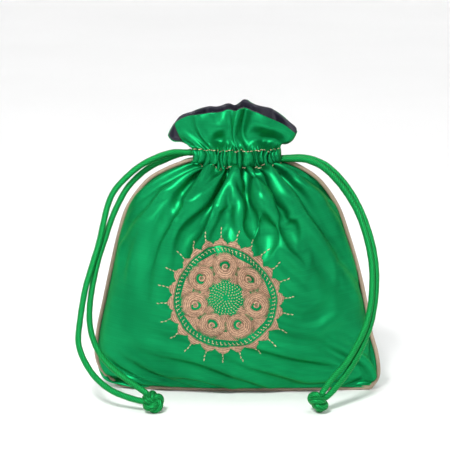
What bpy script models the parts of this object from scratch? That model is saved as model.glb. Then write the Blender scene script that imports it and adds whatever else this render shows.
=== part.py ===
"""Satin drawstring gift pouch, standing on a flat floor and drawn nearly shut.

The pouch is two fabric panels with a lining, joined by a corded seam (piping).
Above the shoulders the cloth is stitched into a channel that two closed cords
run through, and it ends in a ruffle.  Each cord leaves the channel at one side
seam as two strands that meet in a button knot on the floor.

Sizes are in millimetres until a mesh or a curve is made.  +Z is up, the front
with the embroidery faces -Y, and the origin is under the middle of the pouch.
"""
import math

import bpy
import numpy as np

MM = 0.001

# Cloth
PANEL_THICKNESS = 0.8
LINING_THICKNESS = 0.5
LINING_GAP = 0.3
SEAM_GAP = 1.1                 # each panel's edge stops this far from the seam line
PANEL_COLUMNS = 17

# Stations from the bottom seam to the drawstring channel.
# half width, seam y, seam height, centre y, centre height
FRONT_STATIONS = (
    (64.0, -9.0, 3.2, -18.4, 3.2),
    (68.0, -7.0, 9.0, -23.6, 9.0),
    (69.6, -5.0, 17.0, -27.4, 17.0),
    (68.0, -3.0, 28.0, -29.6, 28.0),
    (64.6, -1.0, 44.0, -29.8, 44.0),
    (61.4, 0.0, 60.0, -28.0, 60.0),
    (57.0, 0.0, 77.0, -25.0, 77.0),
    (51.8, 0.0, 91.0, -20.6, 91.0),
    (43.5, 0.0, 103.0, -15.4, 103.0),
    (33.0, 0.0, 109.6, -12.4, 109.6),
    (24.5, 0.0, 112.8, -10.8, 112.8),
)
BACK_STATIONS = (
    (63.6, -7.8, 1.4, -16.3, 0.0),
    (66.3, -7.2, 5.0, -8.0, 0.0),
    (68.6, -6.6, 10.0, 2.0, 0.0),
    (69.6, -5.0, 17.0, 13.0, 0.0),
    (69.0, -4.0, 23.0, 21.5, 3.2),
    (67.2, -2.4, 32.0, 27.5, 12.0),
    (64.6, -1.0, 44.0, 29.8, 28.0),
    (61.4, 0.0, 60.0, 29.4, 50.0),
    (57.0, 0.0, 77.0, 26.0, 74.0),
    (51.8, 0.0, 91.0, 21.0, 90.5),
    (43.5, 0.0, 103.0, 15.4, 103.0),
    (33.0, 0.0, 109.6, 12.4, 109.6),
    (24.5, 0.0, 112.8, 10.8, 112.8),
)
BASE_FLATNESS = 1.35           # how far the flat base reaches towards the side seams
PINCH_HEIGHT = 12.0            # rows below about this height are pinched thin at the seams

# Piping in the side and bottom seams
PIPING_RADIUS = 1.25
PIPING_OFFSET = 1.7            # piping's centre outside the panels' edge
PIPING_FOOT_OFFSET = 0.7       # piping's centre in front of the panels' lower edge
PIPING_BASE_HEIGHT = 1.35
PIPING_TOP_HEIGHT = 109.8
PIPING_CORNER_ANGLE = 0.07     # where the bottom arch starts, in half turns from the side seam
PIPING_CORNER_POINTS = 14
PIPING_RING_SPACING = 3.6      # along the piping, between the rings of its surface

# Drawstring channel: walls either side of the cords' own loop
CORD_DIAMETER = 3.0
LOOP_HALF_WIDTH = 20.4
LOOP_HALF_DEPTH = 7.4
CORD_CLEARANCE = 0.5
CHANNEL_BOTTOM = 113.2
CHANNEL_TOP = 121.0
CHANNEL_OPENING_ANGLE = 25.0   # degrees of the loop left open at each side seam
UPPER_CORD_HEIGHT = 118.7
LOWER_CORD_HEIGHT = 115.4
LOOP_SPLIT_ANGLE = 8.0         # degrees either side of the split between a cord's two runs
LOOP_EXIT_ANGLE = 132.0        # degrees round the loop where a run turns towards its exit
LOOP_POINTS = 18
WAY_OUT = ((17.3, 4.2), (20.0, 2.6), (21.5, 2.05))   # x and y of a run's last points
RUN_RING_SPACING = 3.0
STRAND_RING_SPACING = 4.2
THREAD_RADIUS = 0.3
THREAD_RING_SPACING = 2.2
THREAD_END_ANGLE = 5.0         # degrees that the thread stops short of the channel's ends
CHANNEL_COLUMNS = 24

# Ruffle above the channel
RUFFLE_BOTTOM = 121.3
RUFFLE_HALF_WIDTHS = (23.2, 26.0, 29.5, 31.8)
RUFFLE_HALF_DEPTHS = (10.2, 8.4, 7.2, 6.6)
RUFFLE_CORNER_RISE = 11.0
RUFFLE_CENTRE_RISE = 20.5
RUFFLE_COLUMNS = 14

# Free cord ends
KNOT_RADIUS = 5.2
KNOT_SEGMENTS = 16
KNOT_RINGS = 10
LEFT_KNOT = (-40.4, -50.0, 5.3)
RIGHT_KNOT = (39.0, -50.0, 5.3)
LEFT_FRONT_STRAND = (
    (-22.3, -1.9, 118.7), (-31.2, -2.0, 119.0), (-39.4, -3.0, 116.7), (-47.7, -4.0, 112.5),
    (-54.9, -5.0, 106.6), (-60.5, -6.0, 100.3), (-63.6, -8.0, 93.7), (-65.8, -11.0, 85.0),
    (-68.0, -14.0, 75.4), (-71.2, -18.0, 65.1), (-74.0, -22.0, 55.8), (-75.6, -26.5, 47.5),
    (-76.6, -30.5, 40.1), (-77.2, -34.0, 33.7), (-76.7, -36.0, 28.7), (-74.0, -38.5, 22.3),
    (-68.7, -42.5, 15.5), (-61.3, -46.0, 10.2), (-53.1, -48.2, 7.2), (-46.3, -49.6, 5.7),
)
LEFT_BACK_STRAND = (
    (-22.3, 1.9, 118.7), (-29.5, 1.8, 117.0), (-35.5, 1.5, 114.6), (-41.6, 0.8, 111.9),
    (-47.9, -0.5, 107.6), (-54.3, -2.0, 101.0), (-59.0, -4.5, 92.9), (-62.4, -7.5, 85.1),
    (-65.0, -10.5, 77.3), (-68.4, -14.5, 67.1), (-71.2, -19.0, 54.2), (-72.3, -23.5, 44.6),
    (-71.9, -27.5, 37.0), (-69.8, -31.5, 30.2), (-65.5, -36.0, 23.5), (-58.2, -41.5, 17.8),
    (-50.1, -46.0, 13.0), (-44.3, -48.4, 9.6),
)
RIGHT_FRONT_STRAND = (
    (22.3, -1.9, 115.4), (31.2, -2.6, 115.6), (36.8, -3.4, 114.6), (43.2, -4.4, 111.4),
    (49.6, -6.2, 105.4), (55.0, -8.2, 98.4), (59.5, -11.0, 90.7), (62.6, -14.0, 82.9),
    (65.1, -18.0, 73.5), (66.3, -22.0, 64.2), (66.1, -26.0, 55.9), (65.2, -29.5, 47.5),
    (62.7, -33.5, 38.4), (58.4, -38.0, 30.4), (52.8, -42.6, 22.4), (46.3, -46.6, 16.3),
    (41.7, -49.2, 10.6),
)
RIGHT_BACK_STRAND = (
    (22.3, 1.9, 115.4), (31.4, 1.2, 116.0), (37.6, 0.2, 115.2), (44.6, -1.2, 112.2),
    (51.4, -3.2, 106.2), (57.0, -5.4, 98.9), (61.3, -8.2, 91.1), (64.5, -11.4, 83.2),
    (67.2, -15.4, 73.7), (68.5, -19.4, 64.0), (68.4, -23.2, 55.6), (67.4, -26.8, 47.2),
    (65.0, -31.0, 37.6), (60.9, -36.0, 28.8), (55.6, -41.0, 20.4), (49.6, -45.4, 13.4),
    (44.4, -48.6, 8.4),
)

# Embroidered medallion on the front panel
MEDALLION_CENTRE = (-5.5, 52.0)   # x, height
EMBROIDERY_THICKNESS = 0.5
EMBROIDERY_GAP = 0.3
RAY_COUNT = 23
RAY_TIP_RADIUS = 35.5
SUN_RING_RADII = (26.2, 29.0)
CHAIN_RING_RADII = (23.6, 25.4)
SWIRL_RING_RADII = (8.8, 22.8)
ROSETTE_RADII = (1.2, 8.0)
RING_POINTS = 40               # round each of the plain embroidered rings


def clear_scene():
    """Remove the objects, so that the script gives the same result each time."""
    for item in list(bpy.data.objects):
        bpy.data.objects.remove(item, do_unlink=True)


def make_material(name, colour, roughness, metallic=0.0):
    """A plain Principled material."""
    material = bpy.data.materials.new(name)
    material.use_nodes = True
    shader = material.node_tree.nodes["Principled BSDF"]
    shader.inputs["Base Color"].default_value = (*colour, 1.0)
    shader.inputs["Roughness"].default_value = roughness
    shader.inputs["Metallic"].default_value = metallic
    material.diffuse_color = (*colour, 1.0)
    return material


def spline(points, per_span):
    """A Catmull-Rom curve through rows of numbers, with per_span steps in each span."""
    rows = np.asarray(points, dtype=float)
    ends = np.vstack((2.0 * rows[0] - rows[1], rows, 2.0 * rows[-1] - rows[-2]))
    steps = np.linspace(0.0, 1.0, per_span, endpoint=False)[:, None]
    spans = []
    for index in range(len(rows) - 1):
        before, start, end, after = ends[index:index + 4]
        spans.append(0.5 * (
            2.0 * start
            + (end - before) * steps
            + (2.0 * before - 5.0 * start + 4.0 * end - after) * steps ** 2
            + (3.0 * start - before - 3.0 * end + after) * steps ** 3
        ))
    return np.vstack(spans + [rows[-1:]])


def even_points(path, spacing):
    """Points at even distances along a densely sampled path."""
    lengths = np.concatenate(([0.0], np.cumsum(np.linalg.norm(np.diff(path, axis=0), axis=1))))
    count = max(2, int(round(lengths[-1] / spacing)) + 1)
    wanted = np.linspace(0.0, lengths[-1], count)
    return np.stack([np.interp(wanted, lengths, path[:, axis]) for axis in range(3)], axis=1)


def grid_normals(grid):
    """Unit normals of a grid of points: across the rows, crossed with up the columns."""
    across = np.gradient(grid, axis=1)
    upward = np.gradient(grid, axis=0)
    normals = np.cross(across, upward)
    return normals / np.linalg.norm(normals, axis=2, keepdims=True)


def add_object(name, data, material, collection):
    """Link a mesh or a curve to the scene as an object with one material."""
    item = bpy.data.objects.new(name, data)
    data.materials.append(material)
    collection.objects.link(item)
    return item


def add_shell(name, grid, thickness, material, collection, closed=False):
    """A cloth shell: the grid is its outer face, and Solidify thickens it inwards."""
    rows, columns = grid.shape[:2]
    spans = columns if closed else columns - 1
    faces = []
    for row in range(rows - 1):
        for column in range(spans):
            following = (column + 1) % columns
            faces.append((
                row * columns + column,
                row * columns + following,
                (row + 1) * columns + following,
                (row + 1) * columns + column,
            ))
    mesh = bpy.data.meshes.new(name)
    mesh.from_pydata((grid.reshape(-1, 3) * MM).tolist(), [], faces)
    mesh.shade_smooth()
    item = add_object(name, mesh, material, collection)
    solidify = item.modifiers.new("Thickness", "SOLIDIFY")
    solidify.thickness = thickness * MM
    solidify.offset = -1.0
    return item


def add_tube(name, path, radius, spacing, material, collection):
    """A round cord along a path, as a poly curve with filled caps."""
    points = even_points(path, spacing)
    curve = bpy.data.curves.new(name, "CURVE")
    curve.dimensions = "3D"
    line = curve.splines.new("POLY")
    line.points.add(len(points) - 1)
    for point, place in zip(line.points, points):
        point.co = (*(place * MM), 1.0)
    curve.bevel_depth = radius * MM
    curve.bevel_resolution = 2
    curve.use_fill_caps = True
    line.use_smooth = True
    return add_object(name, curve, material, collection)


def pinch(height):
    """Power that draws a row out to a thin edge: 2 at the floor, 1 well above it."""
    return 1.0 + np.exp(-height / PINCH_HEIGHT)


def panel_grid(stations, side):
    """Outer face of a panel.  side is -1 at the front and +1 at the back.

    Each row runs across the pouch from seam to seam as half an ellipse, drawn out
    to a thin edge near the bottom corners.
    """
    rows = spline(stations, 2)
    angles = np.linspace(0.0, math.pi, PANEL_COLUMNS)[::side]
    fullness = np.sin(angles)
    flatness = np.clip(BASE_FLATNESS * fullness, 0.0, 1.0)
    half_width, seam_y, seam_z, centre_y, centre_z = (rows[:, index:index + 1] for index in range(5))
    centre_z = np.maximum(centre_z, 0.0)
    edge_y = seam_y + side * SEAM_GAP
    x = half_width * np.cos(angles)
    y = edge_y + (centre_y - edge_y) * fullness ** pinch(seam_z)
    z = seam_z + (centre_z - seam_z) * flatness
    return np.stack((x, y, z), axis=2)


def inside(grid):
    """Outer face of the lining behind a cloth's outer face."""
    return grid - grid_normals(grid) * (PANEL_THICKNESS + LINING_GAP)


def front_depth(x, z):
    """y of the front panel's outer face at a place on it."""
    rows = spline(FRONT_STATIONS, 4)
    half_width = np.interp(z, rows[:, 2], rows[:, 0])
    edge_y = np.interp(z, rows[:, 2], rows[:, 1]) - SEAM_GAP
    centre_y = np.interp(z, rows[:, 2], rows[:, 3])
    fullness = np.sqrt(1.0 - (x / half_width) ** 2)
    return edge_y + (centre_y - edge_y) * fullness ** pinch(z)


def loop_rows(offset, heights, side, opening):
    """Rows of a channel wall: the cords' loop moved outwards by offset.

    opening is the angle in degrees that is left out at each side seam.
    """
    margin = math.radians(opening)
    angles = np.linspace(margin, math.pi - margin, CHANNEL_COLUMNS)[::side]
    across, along = np.cos(angles), np.sin(angles)
    normal_x, normal_y = LOOP_HALF_DEPTH * across, LOOP_HALF_WIDTH * along
    size = np.hypot(normal_x, normal_y)
    x = LOOP_HALF_WIDTH * across + offset * normal_x / size
    y = side * (LOOP_HALF_DEPTH * along + offset * normal_y / size)
    grid = np.empty((len(heights), len(angles), 3))
    grid[:, :, 0] = x
    grid[:, :, 1] = y
    grid[:, :, 2] = np.asarray(heights)[:, None]
    return grid


def ruffle_grid(side):
    """Outer face of one ruffle flap, which flares in width and closes in depth."""
    rows = spline(np.stack((RUFFLE_HALF_WIDTHS, RUFFLE_HALF_DEPTHS), axis=1), 2)
    angles = np.linspace(0.0, math.pi, RUFFLE_COLUMNS)[::side]
    fullness = np.sin(angles)
    share = np.linspace(0.0, 1.0, len(rows))[:, None]
    rise = RUFFLE_CORNER_RISE + (RUFFLE_CENTRE_RISE - RUFFLE_CORNER_RISE) * fullness
    grid = np.empty((len(rows), len(angles), 3))
    grid[:, :, 0] = rows[:, :1] * np.cos(angles)
    grid[:, :, 1] = side * (SEAM_GAP + (rows[:, 1:] - SEAM_GAP) * fullness)
    grid[:, :, 2] = RUFFLE_BOTTOM + rise * share
    return grid


def add_panels(satin, lining, collection):
    """Front and back panels, each with its lining, which stops short of the seams."""
    for label, side, stations in (("front", -1, FRONT_STATIONS), ("back", 1, BACK_STATIONS)):
        outer = panel_grid(stations, side)
        add_shell(f"{label}_panel", outer, PANEL_THICKNESS, satin, collection)
        inner = inside(outer)[1:, 1:-1]
        add_shell(f"{label}_lining", inner, LINING_THICKNESS, lining, collection)


def add_channels(satin, lining, thread, collection):
    """Channel walls outside and inside the cords, and the thread row under the channel."""
    reach = CORD_DIAMETER / 2.0 + CORD_CLEARANCE
    heights = (CHANNEL_BOTTOM, CHANNEL_TOP)
    for label, side in (("front", -1), ("back", 1)):
        outer = loop_rows(reach + PANEL_THICKNESS, heights, side, CHANNEL_OPENING_ANGLE)
        add_shell(f"{label}_channel", outer, PANEL_THICKNESS, satin, collection)
        inner = loop_rows(-reach, heights, side, CHANNEL_OPENING_ANGLE)
        add_shell(f"{label}_channel_lining", inner, LINING_THICKNESS, lining, collection)
        row = loop_rows(
            reach + PANEL_THICKNESS + LINING_GAP + THREAD_RADIUS,
            (CHANNEL_BOTTOM + THREAD_RADIUS,), side, CHANNEL_OPENING_ANGLE + THREAD_END_ANGLE)
        add_tube(
            f"{label}_channel_thread", row[0], THREAD_RADIUS, THREAD_RING_SPACING, thread, collection)


def add_ruffles(satin, lining, collection):
    """Front and back ruffle flaps with their lining."""
    for label, side in (("front", -1), ("back", 1)):
        outer = ruffle_grid(side)
        add_shell(f"{label}_ruffle", outer, PANEL_THICKNESS, satin, collection)
        inner = inside(outer)[:, 2:-2]
        add_shell(f"{label}_ruffle_lining", inner, LINING_THICKNESS, lining, collection)


def add_piping(material, collection):
    """The cord in the seam: up the left side, round the bottom and up the right side."""
    rows = spline(FRONT_STATIONS, 6)
    rows = rows[rows[:, 2] < PIPING_TOP_HEIGHT]
    side = np.stack((rows[:, 0] + PIPING_OFFSET, rows[:, 1], rows[:, 2]), axis=1)
    corner_x, corner_y = FRONT_STATIONS[0][0] + PIPING_OFFSET, FRONT_STATIONS[0][1]
    angles = np.linspace(PIPING_CORNER_ANGLE, 0.5, PIPING_CORNER_POINTS) * math.pi
    depth = FRONT_STATIONS[0][3] - PIPING_FOOT_OFFSET - corner_y
    bottom = np.stack((
        corner_x * np.cos(angles),
        corner_y + depth * np.sin(angles) ** pinch(FRONT_STATIONS[0][2]),
        np.full_like(angles, PIPING_BASE_HEIGHT),
    ), axis=1)
    half = np.vstack((side[::-1], bottom))
    other = half[::-1][1:] * np.array((-1.0, 1.0, 1.0))
    path = spline(np.vstack((half, other)), 3)
    add_tube("piping", path, PIPING_RADIUS, PIPING_RING_SPACING, material, collection)


def cord_run(side, exit_side, height):
    """Half of a cord's loop inside the channel, ending straight out of its exit."""
    angles = np.radians(np.linspace(LOOP_SPLIT_ANGLE, LOOP_EXIT_ANGLE, LOOP_POINTS))
    loop = np.stack((
        -exit_side * LOOP_HALF_WIDTH * np.cos(angles),
        side * LOOP_HALF_DEPTH * np.sin(angles),
        np.full_like(angles, height),
    ), axis=1)
    way_out = np.array([(exit_side * x, side * y, height) for x, y in WAY_OUT])
    return spline(np.vstack((loop, way_out)), 4)


def add_cords(material, collection):
    """Both drawstrings: two runs in the channel, two free strands and a knot each."""
    radius = CORD_DIAMETER / 2.0
    cords = (
        ("left", -1, UPPER_CORD_HEIGHT, LEFT_KNOT, LEFT_FRONT_STRAND, LEFT_BACK_STRAND),
        ("right", 1, LOWER_CORD_HEIGHT, RIGHT_KNOT, RIGHT_FRONT_STRAND, RIGHT_BACK_STRAND),
    )
    for label, exit_side, height, knot, front_route, back_route in cords:
        for place, side, route in (("front", -1, front_route), ("back", 1, back_route)):
            run = cord_run(side, exit_side, height)
            add_tube(f"{label}_cord_{place}_run", run, radius, RUN_RING_SPACING, material, collection)
            strand = spline(route, 6)
            add_tube(
                f"{label}_cord_{place}_strand", strand, radius, STRAND_RING_SPACING, material, collection)
        add_knot(f"{label}_knot", knot, material, collection)


def add_knot(name, place, material, collection):
    """A round button knot, with its origin on the line that it slides along."""
    bpy.ops.mesh.primitive_uv_sphere_add(
        segments=KNOT_SEGMENTS, ring_count=KNOT_RINGS, radius=KNOT_RADIUS * MM)
    knot = bpy.context.object
    knot.name = name
    knot.data.name = name
    knot.data.shade_smooth()
    knot.data.materials.append(material)
    knot.location = [value * MM for value in place]
    for group in list(knot.users_collection):
        group.objects.unlink(knot)
    collection.objects.link(knot)


def medallion_grid(inner, outer, angles, rows):
    """A ring-shaped patch that follows the front panel, just proud of it."""
    share = np.linspace(0.0, 1.0, rows)[:, None]
    radius = inner + (outer - inner) * share
    x = MEDALLION_CENTRE[0] + radius * np.sin(angles)
    z = MEDALLION_CENTRE[1] + radius * np.cos(angles)
    lift = EMBROIDERY_GAP + EMBROIDERY_THICKNESS
    return np.stack((x, front_depth(x, z) - lift, z), axis=2)


def add_embroidery(material, collection):
    """Sun ring with rays, chain ring, swirl ring and centre rosette."""
    ray_angles = np.linspace(0.0, 2.0 * math.pi, RAY_COUNT * 4, endpoint=False)
    outline = np.full(len(ray_angles), SUN_RING_RADII[1])
    outline[::4] = RAY_TIP_RADIUS
    ring_angles = np.linspace(0.0, 2.0 * math.pi, RING_POINTS, endpoint=False)
    rings = (
        ("sun_ring_embroidery", SUN_RING_RADII[0], outline, ray_angles, 2),
        ("chain_stitch_ring", CHAIN_RING_RADII[0], CHAIN_RING_RADII[1], ring_angles, 2),
        ("swirl_ring_embroidery", SWIRL_RING_RADII[0], SWIRL_RING_RADII[1], ring_angles, 4),
        ("centre_rosette_embroidery", ROSETTE_RADII[0], ROSETTE_RADII[1], ring_angles[::2], 3),
    )
    for name, inner, outer, angles, rows in rings:
        grid = medallion_grid(inner, outer, angles, rows)
        add_shell(name, grid, EMBROIDERY_THICKNESS, material, collection, closed=True)


def main():
    """Build the pouch."""
    clear_scene()
    pouch = bpy.data.collections.new("satin_gift_pouch")
    bpy.context.scene.collection.children.link(pouch)
    satin = make_material("green_satin", (0.01, 0.27, 0.08), 0.35)
    lining = make_material("dark_lining", (0.015, 0.014, 0.026), 0.7)
    piping = make_material("tan_piping", (0.43, 0.33, 0.24), 0.7)
    thread = make_material("gold_thread", (0.62, 0.50, 0.22), 0.5)
    embroidery = make_material("rose_tan_thread", (0.52, 0.31, 0.21), 0.45)
    cord = make_material("green_satin_cord", (0.012, 0.33, 0.09), 0.4)
    add_panels(satin, lining, pouch)
    add_channels(satin, lining, thread, pouch)
    add_ruffles(satin, lining, pouch)
    add_piping(piping, pouch)
    add_cords(cord, pouch)
    add_embroidery(embroidery, pouch)


main()
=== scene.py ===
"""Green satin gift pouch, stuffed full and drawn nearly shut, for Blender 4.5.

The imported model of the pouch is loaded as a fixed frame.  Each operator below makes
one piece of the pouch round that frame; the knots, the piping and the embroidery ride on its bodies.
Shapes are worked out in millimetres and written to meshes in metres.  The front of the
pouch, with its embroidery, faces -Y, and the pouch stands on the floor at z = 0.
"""
import math

import bpy
import numpy as np
from bpy.props import FloatProperty, FloatVectorProperty, IntProperty, PointerProperty
from mathutils import Matrix, Vector


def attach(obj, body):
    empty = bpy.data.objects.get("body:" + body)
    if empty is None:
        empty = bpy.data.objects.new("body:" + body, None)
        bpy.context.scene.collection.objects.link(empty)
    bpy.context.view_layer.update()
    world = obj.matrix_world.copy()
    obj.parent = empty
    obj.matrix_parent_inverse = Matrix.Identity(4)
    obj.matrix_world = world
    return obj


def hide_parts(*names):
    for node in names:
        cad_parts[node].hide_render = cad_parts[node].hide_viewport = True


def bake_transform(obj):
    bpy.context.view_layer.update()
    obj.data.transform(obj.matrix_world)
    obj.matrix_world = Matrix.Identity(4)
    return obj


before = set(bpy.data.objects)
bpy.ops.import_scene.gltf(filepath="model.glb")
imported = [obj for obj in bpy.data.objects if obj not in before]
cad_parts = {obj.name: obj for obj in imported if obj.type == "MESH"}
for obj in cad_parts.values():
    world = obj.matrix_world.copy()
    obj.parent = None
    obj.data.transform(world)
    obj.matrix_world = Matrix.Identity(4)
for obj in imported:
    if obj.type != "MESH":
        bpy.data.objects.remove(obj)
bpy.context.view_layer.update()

bl_info = {
    "name": "Satin gift pouch",
    "version": (1, 0, 0),
    "blender": (4, 5, 0),
    "location": "3D View > Sidebar > Pouch",
    "description": "Makes a lined satin gift pouch with drawn cords and an embroidered sun",
    "category": "Add Mesh",
}

MM = 0.001

# ---------------------------------------------------------------- cut and shape of the cloth
CUT_WIDTH = 152.0              # a panel's flat width between the side seams
FRONT_BODY_HEIGHT = 127.0      # flat height from the bottom seam to the channel, front
BACK_BODY_HEIGHT = 150.0       # the same at the back, which also makes the base
CHANNEL_HEIGHT = 8.5
RUFFLE_HEIGHT = 22.0
RUFFLE_CORNER_HEIGHT = 17.0
RUFFLE_FULLNESS = 0.60         # flat width left showing in the ruffle's folds at its foot
RIM_FULLNESS = 0.47            # and at its rim
RUFFLE_SHAPING = 0.7           # share of a ruffle's shape set by its given folds
COLUMNS = 105
BODY_ROWS = 80
CHANNEL_ROWS = 6
RUFFLE_ROWS = 15

# Side seams from the bottom corner up to the channel.
LEFT_SEAM = (
    (-59.0, -8.6, 2.4), (-65.8, -7.4, 7.6), (-69.6, -5.0, 15.5), (-69.0, -3.0, 27.0),
    (-65.4, -1.0, 44.0), (-61.9, 0.0, 60.0), (-57.9, 0.0, 77.0), (-53.2, 0.0, 91.0),
    (-44.0, 0.0, 103.4), (-34.0, 0.0, 109.6), (-23.6, 0.0, 113.6),
)
RIGHT_SEAM = (
    (66.6, -13.0, 1.7), (70.4, -10.0, 7.0), (69.8, -6.8, 16.4), (66.6, -3.6, 28.0),
    (63.8, -1.2, 44.0), (60.0, 0.0, 60.0), (54.8, 0.0, 77.0), (49.6, 0.0, 91.0),
    (41.0, 0.0, 103.4), (31.6, 0.0, 110.2), (23.6, 0.0, 113.6),
)
# Middle of each panel, as y and z, at the same stations.
FRONT_MIDDLE = (
    (-18.6, 2.4), (-24.4, 8.6), (-28.2, 17.0), (-30.4, 28.0), (-30.6, 44.0), (-29.6, 60.0),
    (-28.2, 77.0), (-25.2, 91.0), (-18.2, 103.0), (-14.0, 109.6), (-12.0, 113.4),
)
BACK_MIDDLE = (
    (-16.8, 0.5), (-2.0, 0.3), (13.0, 0.3), (23.6, 5.0), (29.6, 20.0), (30.4, 42.0),
    (27.4, 68.0), (22.4, 88.0), (16.8, 102.6), (13.6, 109.6), (12.0, 113.4),
)
FLOOR_CLEARANCE = 0.35
SLACK = 0.50                   # height of the low waves in the stuffed panels

# Drawstring channel and ruffle
LOOP_HALF_WIDTH = 20.4         # the cords' loop inside the channel
LOOP_HALF_DEPTH = 7.4
CHANNEL_BOTTOM = 113.4
CHANNEL_TOP = 121.4
PLEATS = 18
PLEAT_DEPTH = 3.3
# Rim of each ruffle from left to right: its x, and its height above the channel.
FRONT_RIM = (
    (-32.0, 12.4), (-27.5, 15.2), (-22.0, 17.2), (-16.0, 17.9), (-10.5, 18.5), (-5.5, 19.4),
    (-2.4, 19.2), (0.2, 21.9), (3.2, 22.4), (8.0, 21.0), (14.0, 18.6), (20.5, 15.4),
    (26.5, 12.0), (32.0, 8.2),
)
BACK_RIM = (
    (-37.0, 5.4), (-34.0, 11.2), (-29.0, 15.4), (-22.0, 18.4), (-15.0, 19.3), (-9.0, 20.0),
    (-4.5, 21.6), (-0.6, 19.6), (4.5, 23.6), (8.5, 22.6), (13.0, 20.2), (19.0, 17.8),
    (25.5, 13.8), (29.5, 10.4), (32.0, 7.4),
)
EXIT_GAP = 2.3                 # y of the channel's cut edges, where the cords leave

# Free cords, as in the frame
CORD_DIAMETER = 3.0
LEFT_KNOT = (-40.4, -50.0, 5.3)
RIGHT_KNOT = (39.0, -50.0, 5.3)
LEFT_FRONT_STRAND = (
    (-22.3, -1.9, 118.7), (-31.2, -2.0, 119.0), (-39.4, -3.0, 116.7), (-47.7, -4.0, 112.5),
    (-54.9, -5.0, 106.6), (-60.5, -6.0, 100.3), (-63.6, -8.0, 93.7), (-65.8, -11.0, 85.0),
    (-68.0, -14.0, 75.4), (-71.2, -18.0, 65.1), (-74.0, -22.0, 55.8), (-75.6, -26.5, 47.5),
    (-76.6, -30.5, 40.1), (-77.2, -34.0, 33.7), (-76.7, -36.0, 28.7), (-74.0, -38.5, 22.3),
    (-68.7, -42.5, 15.5), (-61.3, -46.0, 10.2), (-53.1, -48.2, 7.2), (-46.3, -49.6, 5.7),
)
LEFT_BACK_STRAND = (
    (-22.3, 1.9, 118.7), (-29.5, 1.8, 117.0), (-35.5, 1.5, 114.6), (-41.6, 0.8, 111.9),
    (-47.9, -0.5, 107.6), (-54.3, -2.0, 101.0), (-59.0, -4.5, 92.9), (-62.4, -7.5, 85.1),
    (-65.0, -10.5, 77.3), (-68.4, -14.5, 67.1), (-71.2, -19.0, 54.2), (-72.3, -23.5, 44.6),
    (-71.9, -27.5, 37.0), (-69.8, -31.5, 30.2), (-65.5, -36.0, 23.5), (-58.2, -41.5, 17.8),
    (-50.1, -46.0, 13.0), (-44.3, -48.4, 9.6),
)
RIGHT_FRONT_STRAND = (
    (22.3, -1.9, 115.4), (31.2, -2.6, 115.6), (36.8, -3.4, 114.6), (43.2, -4.4, 111.4),
    (49.6, -6.2, 105.4), (55.0, -8.2, 98.4), (59.5, -11.0, 90.7), (62.6, -14.0, 82.9),
    (65.1, -18.0, 73.5), (66.3, -22.0, 64.2), (66.1, -26.0, 55.9), (65.2, -29.5, 47.5),
    (62.7, -33.5, 38.4), (58.4, -38.0, 30.4), (52.8, -42.6, 22.4), (46.3, -46.6, 16.3),
    (41.7, -49.2, 10.6),
)
RIGHT_BACK_STRAND = (
    (22.3, 1.9, 115.4), (31.4, 1.2, 116.0), (37.6, 0.2, 115.2), (44.6, -1.2, 112.2),
    (51.4, -3.2, 106.2), (57.0, -5.4, 98.9), (61.3, -8.2, 91.1), (64.5, -11.4, 83.2),
    (67.2, -15.4, 73.7), (68.5, -19.4, 64.0), (68.4, -23.2, 55.6), (67.4, -26.8, 47.2),
    (65.0, -31.0, 37.6), (60.9, -36.0, 28.8), (55.6, -41.0, 20.4), (49.6, -45.4, 13.4),
    (44.4, -48.6, 8.4),
)

# Single folds on the front: path of x and z, ridge height, reach, depth of the hollow.
FRONT_CREASES = (
    (((8.5, 108.0), (11.0, 102.0), (15.5, 95.0), (19.5, 89.5), (23.5, 87.2), (27.0, 90.5), (28.0, 94.0)),
     2.3, 1.9, -1.2),
    (((-1.5, 107.0), (-2.0, 101.0), (-4.0, 97.2), (-8.0, 95.6), (-11.5, 97.6)), 1.1, 1.5, 0.9),
    (((-12.0, 106.0), (-17.0, 102.0), (-21.0, 98.6), (-25.0, 98.2), (-26.5, 101.0)), 1.0, 1.5, 0.9),
    (((25.0, 108.0), (32.0, 105.0), (38.0, 101.6), (42.5, 97.0), (44.0, 91.5)), 1.2, 1.8, 0.9),
    (((-30.0, 104.5), (-37.0, 101.0), (-44.0, 95.5), (-51.0, 89.5)), 1.4, 1.8, 1.6),
    (((-33.0, 100.0), (-31.5, 92.0), (-29.0, 84.0)), 0.9, 1.8, 0.8),
    (((-56.5, 84.0), (-58.0, 69.0), (-59.0, 53.0)), 0.8, 1.7, 0.9),
    (((-51.0, 76.0), (-53.5, 64.0), (-54.5, 54.0)), 0.6, 1.6, 0.6),
    (((48.0, 80.0), (48.5, 60.0), (49.0, 42.0)), 0.5, 1.5, 0.6),
    (((55.0, 56.0), (60.0, 48.5), (62.5, 42.0)), 0.7, 1.6, 0.8),
    (((50.0, 62.0), (56.5, 54.0)), 0.5, 1.5, 0.6),
    (((58.0, 20.0), (64.5, 17.5)), 0.8, 1.6, 0.8),
)
# Broad swells and hollows of the stuffed front: x, z, height, reach in x and in z.
FRONT_SWELLS = (
    (14.0, 99.0, 3.0, 14.0, 7.0), (16.0, 84.0, -3.2, 17.0, 8.0), (-17.0, 99.0, 2.1, 12.0, 7.0),
    (-22.0, 84.0, -1.9, 12.0, 8.0), (-46.0, 82.0, 1.3, 8.0, 14.0), (-30.0, 14.0, -0.7, 16.0, 7.0),
    (42.0, 84.0, 1.2, 9.0, 10.0), (40.0, 62.0, -0.9, 8.0, 12.0), (20.0, 12.0, -0.6, 18.0, 6.0),
)

# Folds of the front ruffle, as x, reach in x, depth at the foot and growth to the rim.
RUFFLE_RIDGES = ((3.9, 2.3, -1.6, -1.4), (13.5, 6.5, 0.0, 2.2), (-6.0, 3.4, 0.0, -1.5))
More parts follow.
